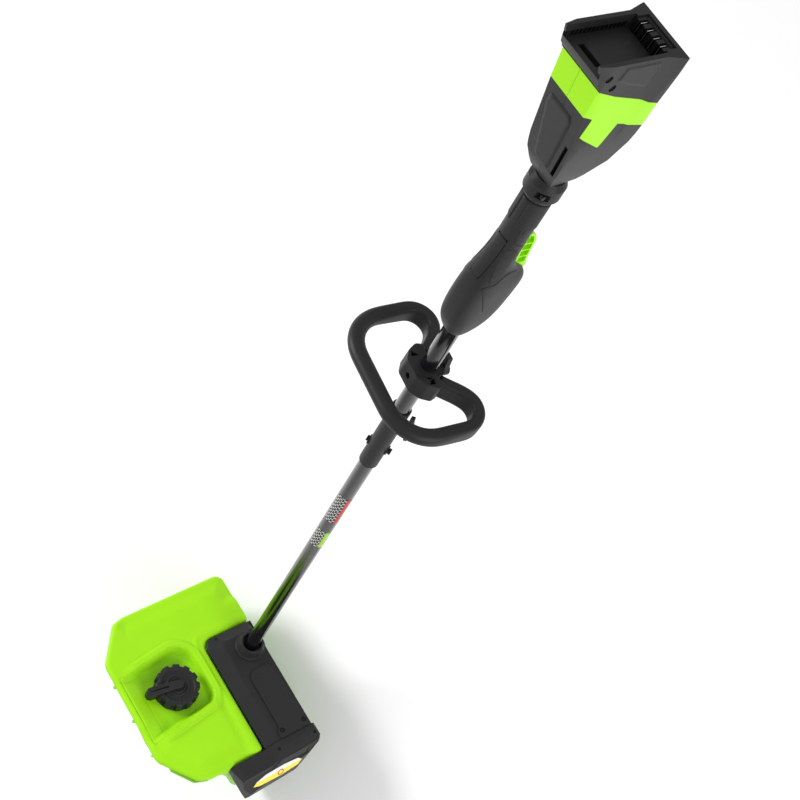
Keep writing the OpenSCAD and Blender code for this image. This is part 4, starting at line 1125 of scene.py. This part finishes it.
# Right wall of the battery shell: z up the tube and x
SHELL_X = np.array([(1231, 17), (1240, 20), (1262, 25), (1306, 30), (1358, 33), (1396, 35.5),
                    (1440, 36.8)], float)


SHELL_X_MAX = 30.0


def shell_right_surf(y, z):
    """Right wall of the battery shell, at a y and a height."""
    return (min(SHELL_X_MAX, float(np.interp(z, SHELL_X[:, 0], SHELL_X[:, 1]))), y, z)


cap_facet = fillet([(-44, 1405), (-40, 1424), (10, 1419), (12, 1380), (-20, 1393)],
                   [4, 3, 3, 6, 6], 4)
patch("cap_side_facet", cap_facet, shell_right_surf, 0.8, "black", "frame", (1, 0, 0), edge=3.0)
seam("cap_split_line", [(0.0, 1396.8), (0.0, 1358.5)], shell_top_surf, (0, -1, 0), "frame",
     0.3, "green_deep")


def rod_mesh(centre, axis, radius, length, sides=28, round_edge=0.25):
    """Short round bar with softened rims, listed as rings along its axis."""
    axis = np.array(axis, float) / np.linalg.norm(axis)
    side = np.cross(axis, (0.3, 0.5, 0.8))
    side /= np.linalg.norm(side)
    other = np.cross(axis, side)
    t = np.linspace(0, 2 * math.pi, sides, endpoint=False)
    rings = []
    for at, r in ((0, radius - round_edge), (round_edge, radius), (length - round_edge, radius),
                  (length, radius - round_edge)):
        ring = np.array(centre, float) + axis * at
        rings.append(ring + r * (np.cos(t)[:, None] * side + np.sin(t)[:, None] * other))
    return rings_mesh(rings)


# Darkest black plugs filling the battery cap's screw recesses: painted shade of the deep holes
CAP_HOLE_SHADE_X = 27.55
CAP_HOLE_SHADE_R = 4.05
CAP_HOLE_SHADE_LENGTH = 0.9
for s in (-1, 1):
    tag = "left" if s < 0 else "right"
    for k, (y, z) in enumerate(((-56, 1412), (-43, 1397))):
        sv, sf = rod_mesh((s * CAP_HOLE_SHADE_X, y, z), (s, 0, 0), CAP_HOLE_SHADE_R, CAP_HOLE_SHADE_LENGTH)
        build("cap_hole_shade_%s_%d" % (tag, k + 1), sv, sf, "black_deep", "frame")
# Darkest black sheet under the cooling slot: painted shade inside the slot
patch("slot_painted_shade", [(9, 1250), (27, 1250), (27, 1316), (9, 1316)],
      lambda x, z: (x * 0.8, shell_top_surf(x, z)[1] + 6.0, z), 0.0, "black_deep",
      "frame", (0, -1, 0), spacing=8)

# Grooved strip beside the blades, in the bay's own frame
FACE_Z, FACE_TILT = 1423.0, math.radians(5.74)


def bay_place(p):
    """Battery bay frame to row-frame metres."""
    p = np.asarray(p, float).reshape(-1, 3)
    c, s = math.cos(-FACE_TILT), math.sin(-FACE_TILT)
    return world(np.stack([p[:, 0], p[:, 1] * c - p[:, 2] * s, p[:, 1] * s + p[:, 2] * c + FACE_Z],
                          1))


strip = fillet([(-19, 28.6), (19, 28.6), (19, 32.4), (-19, 32.4)], 0.6, 3)
tv, tf = plate(resample(strip, 3), -4, -1.2, 0.4, 2)
block_top = build("terminal_strip", tv, tf, "black", "frame", place=bay_place)
for k in range(3):
    cut(block_top, *box_mesh((-17.5, 29.3 + k * 1.1, -2.2), (17.5, 29.8 + k * 1.1, 2)),
        place=bay_place)

# ---- Floor, light, camera -------------------------------------------------

floor = bpy.data.meshes.new("floor")
floor.from_pydata([(-8, -8, 0), (8, -8, 0), (8, 8, 0), (-8, 8, 0)], [], [(0, 1, 2, 3)])
floor.materials.append(material("floor_paper", (0.98, 0.98, 0.98), 0.9, vary=0.005))
floor_ob = bpy.data.objects.new("floor", floor)
bpy.context.scene.collection.objects.link(floor_ob)


def area_light(name, at, target, size, power):
    """Round soft light aimed at a point."""
    data = bpy.data.lights.new(name, "AREA")
    data.shape = "DISK"
    data.size = size
    data.energy = power
    ob = bpy.data.objects.new(name, data)
    ob.location = at
    ob.rotation_euler = (Vector(target) - Vector(at)).to_track_quat("-Z", "Y").to_euler()
    bpy.context.scene.collection.objects.link(ob)


CENTRE = (0.0, 0.45, 0.3)
LENS = 67.10
SENSOR = 36
CAMERA_AT = (0.5542, 0.8453, 2.4819)
CAMERA_RIGHT = (0.53050, 0.78180, 0.32767)
CAMERA_FORWARD = (-0.30144, 0.53526, -0.78907)
WORLD_STRENGTH = 0.47
area_light("key", (-2.1, -0.6, 2.1), CENTRE, 1.2, 62)
area_light("fill", (2.3, 0.9, 1.5), CENTRE, 1.8, 38)
area_light("back", (-0.6, 2.8, 2.2), CENTRE, 2.0, 5)
bpy.context.scene.view_settings.view_transform = "Standard"
bpy.context.scene.view_settings.look = "None"
bpy.context.scene.world = bpy.data.worlds.new("studio")
bpy.context.scene.world.use_nodes = True
sky = bpy.context.scene.world.node_tree.nodes["Background"]
sky.inputs["Color"].default_value = (1, 1, 1, 1)
sky.inputs["Strength"].default_value = WORLD_STRENGTH


def turn(d):
    """Tool-frame direction to row-frame direction."""
    return Vector((d[0], d[1] * RISE + d[2] * RUN, d[2] * RISE - d[1] * RUN))


cam_data = bpy.data.cameras.new("camera")
cam_data.lens = LENS
cam_data.sensor_width = SENSOR
cam = bpy.data.objects.new("camera", cam_data)
cam_x = turn(CAMERA_RIGHT).normalized()
cam_z = -turn(CAMERA_FORWARD).normalized()
cam_y = cam_z.cross(cam_x)
cam.matrix_world = Matrix.Translation(CAMERA_AT) @ Matrix(
    (cam_x, cam_y, cam_z)).transposed().to_4x4()
bpy.context.scene.collection.objects.link(cam)
bpy.context.scene.camera = cam
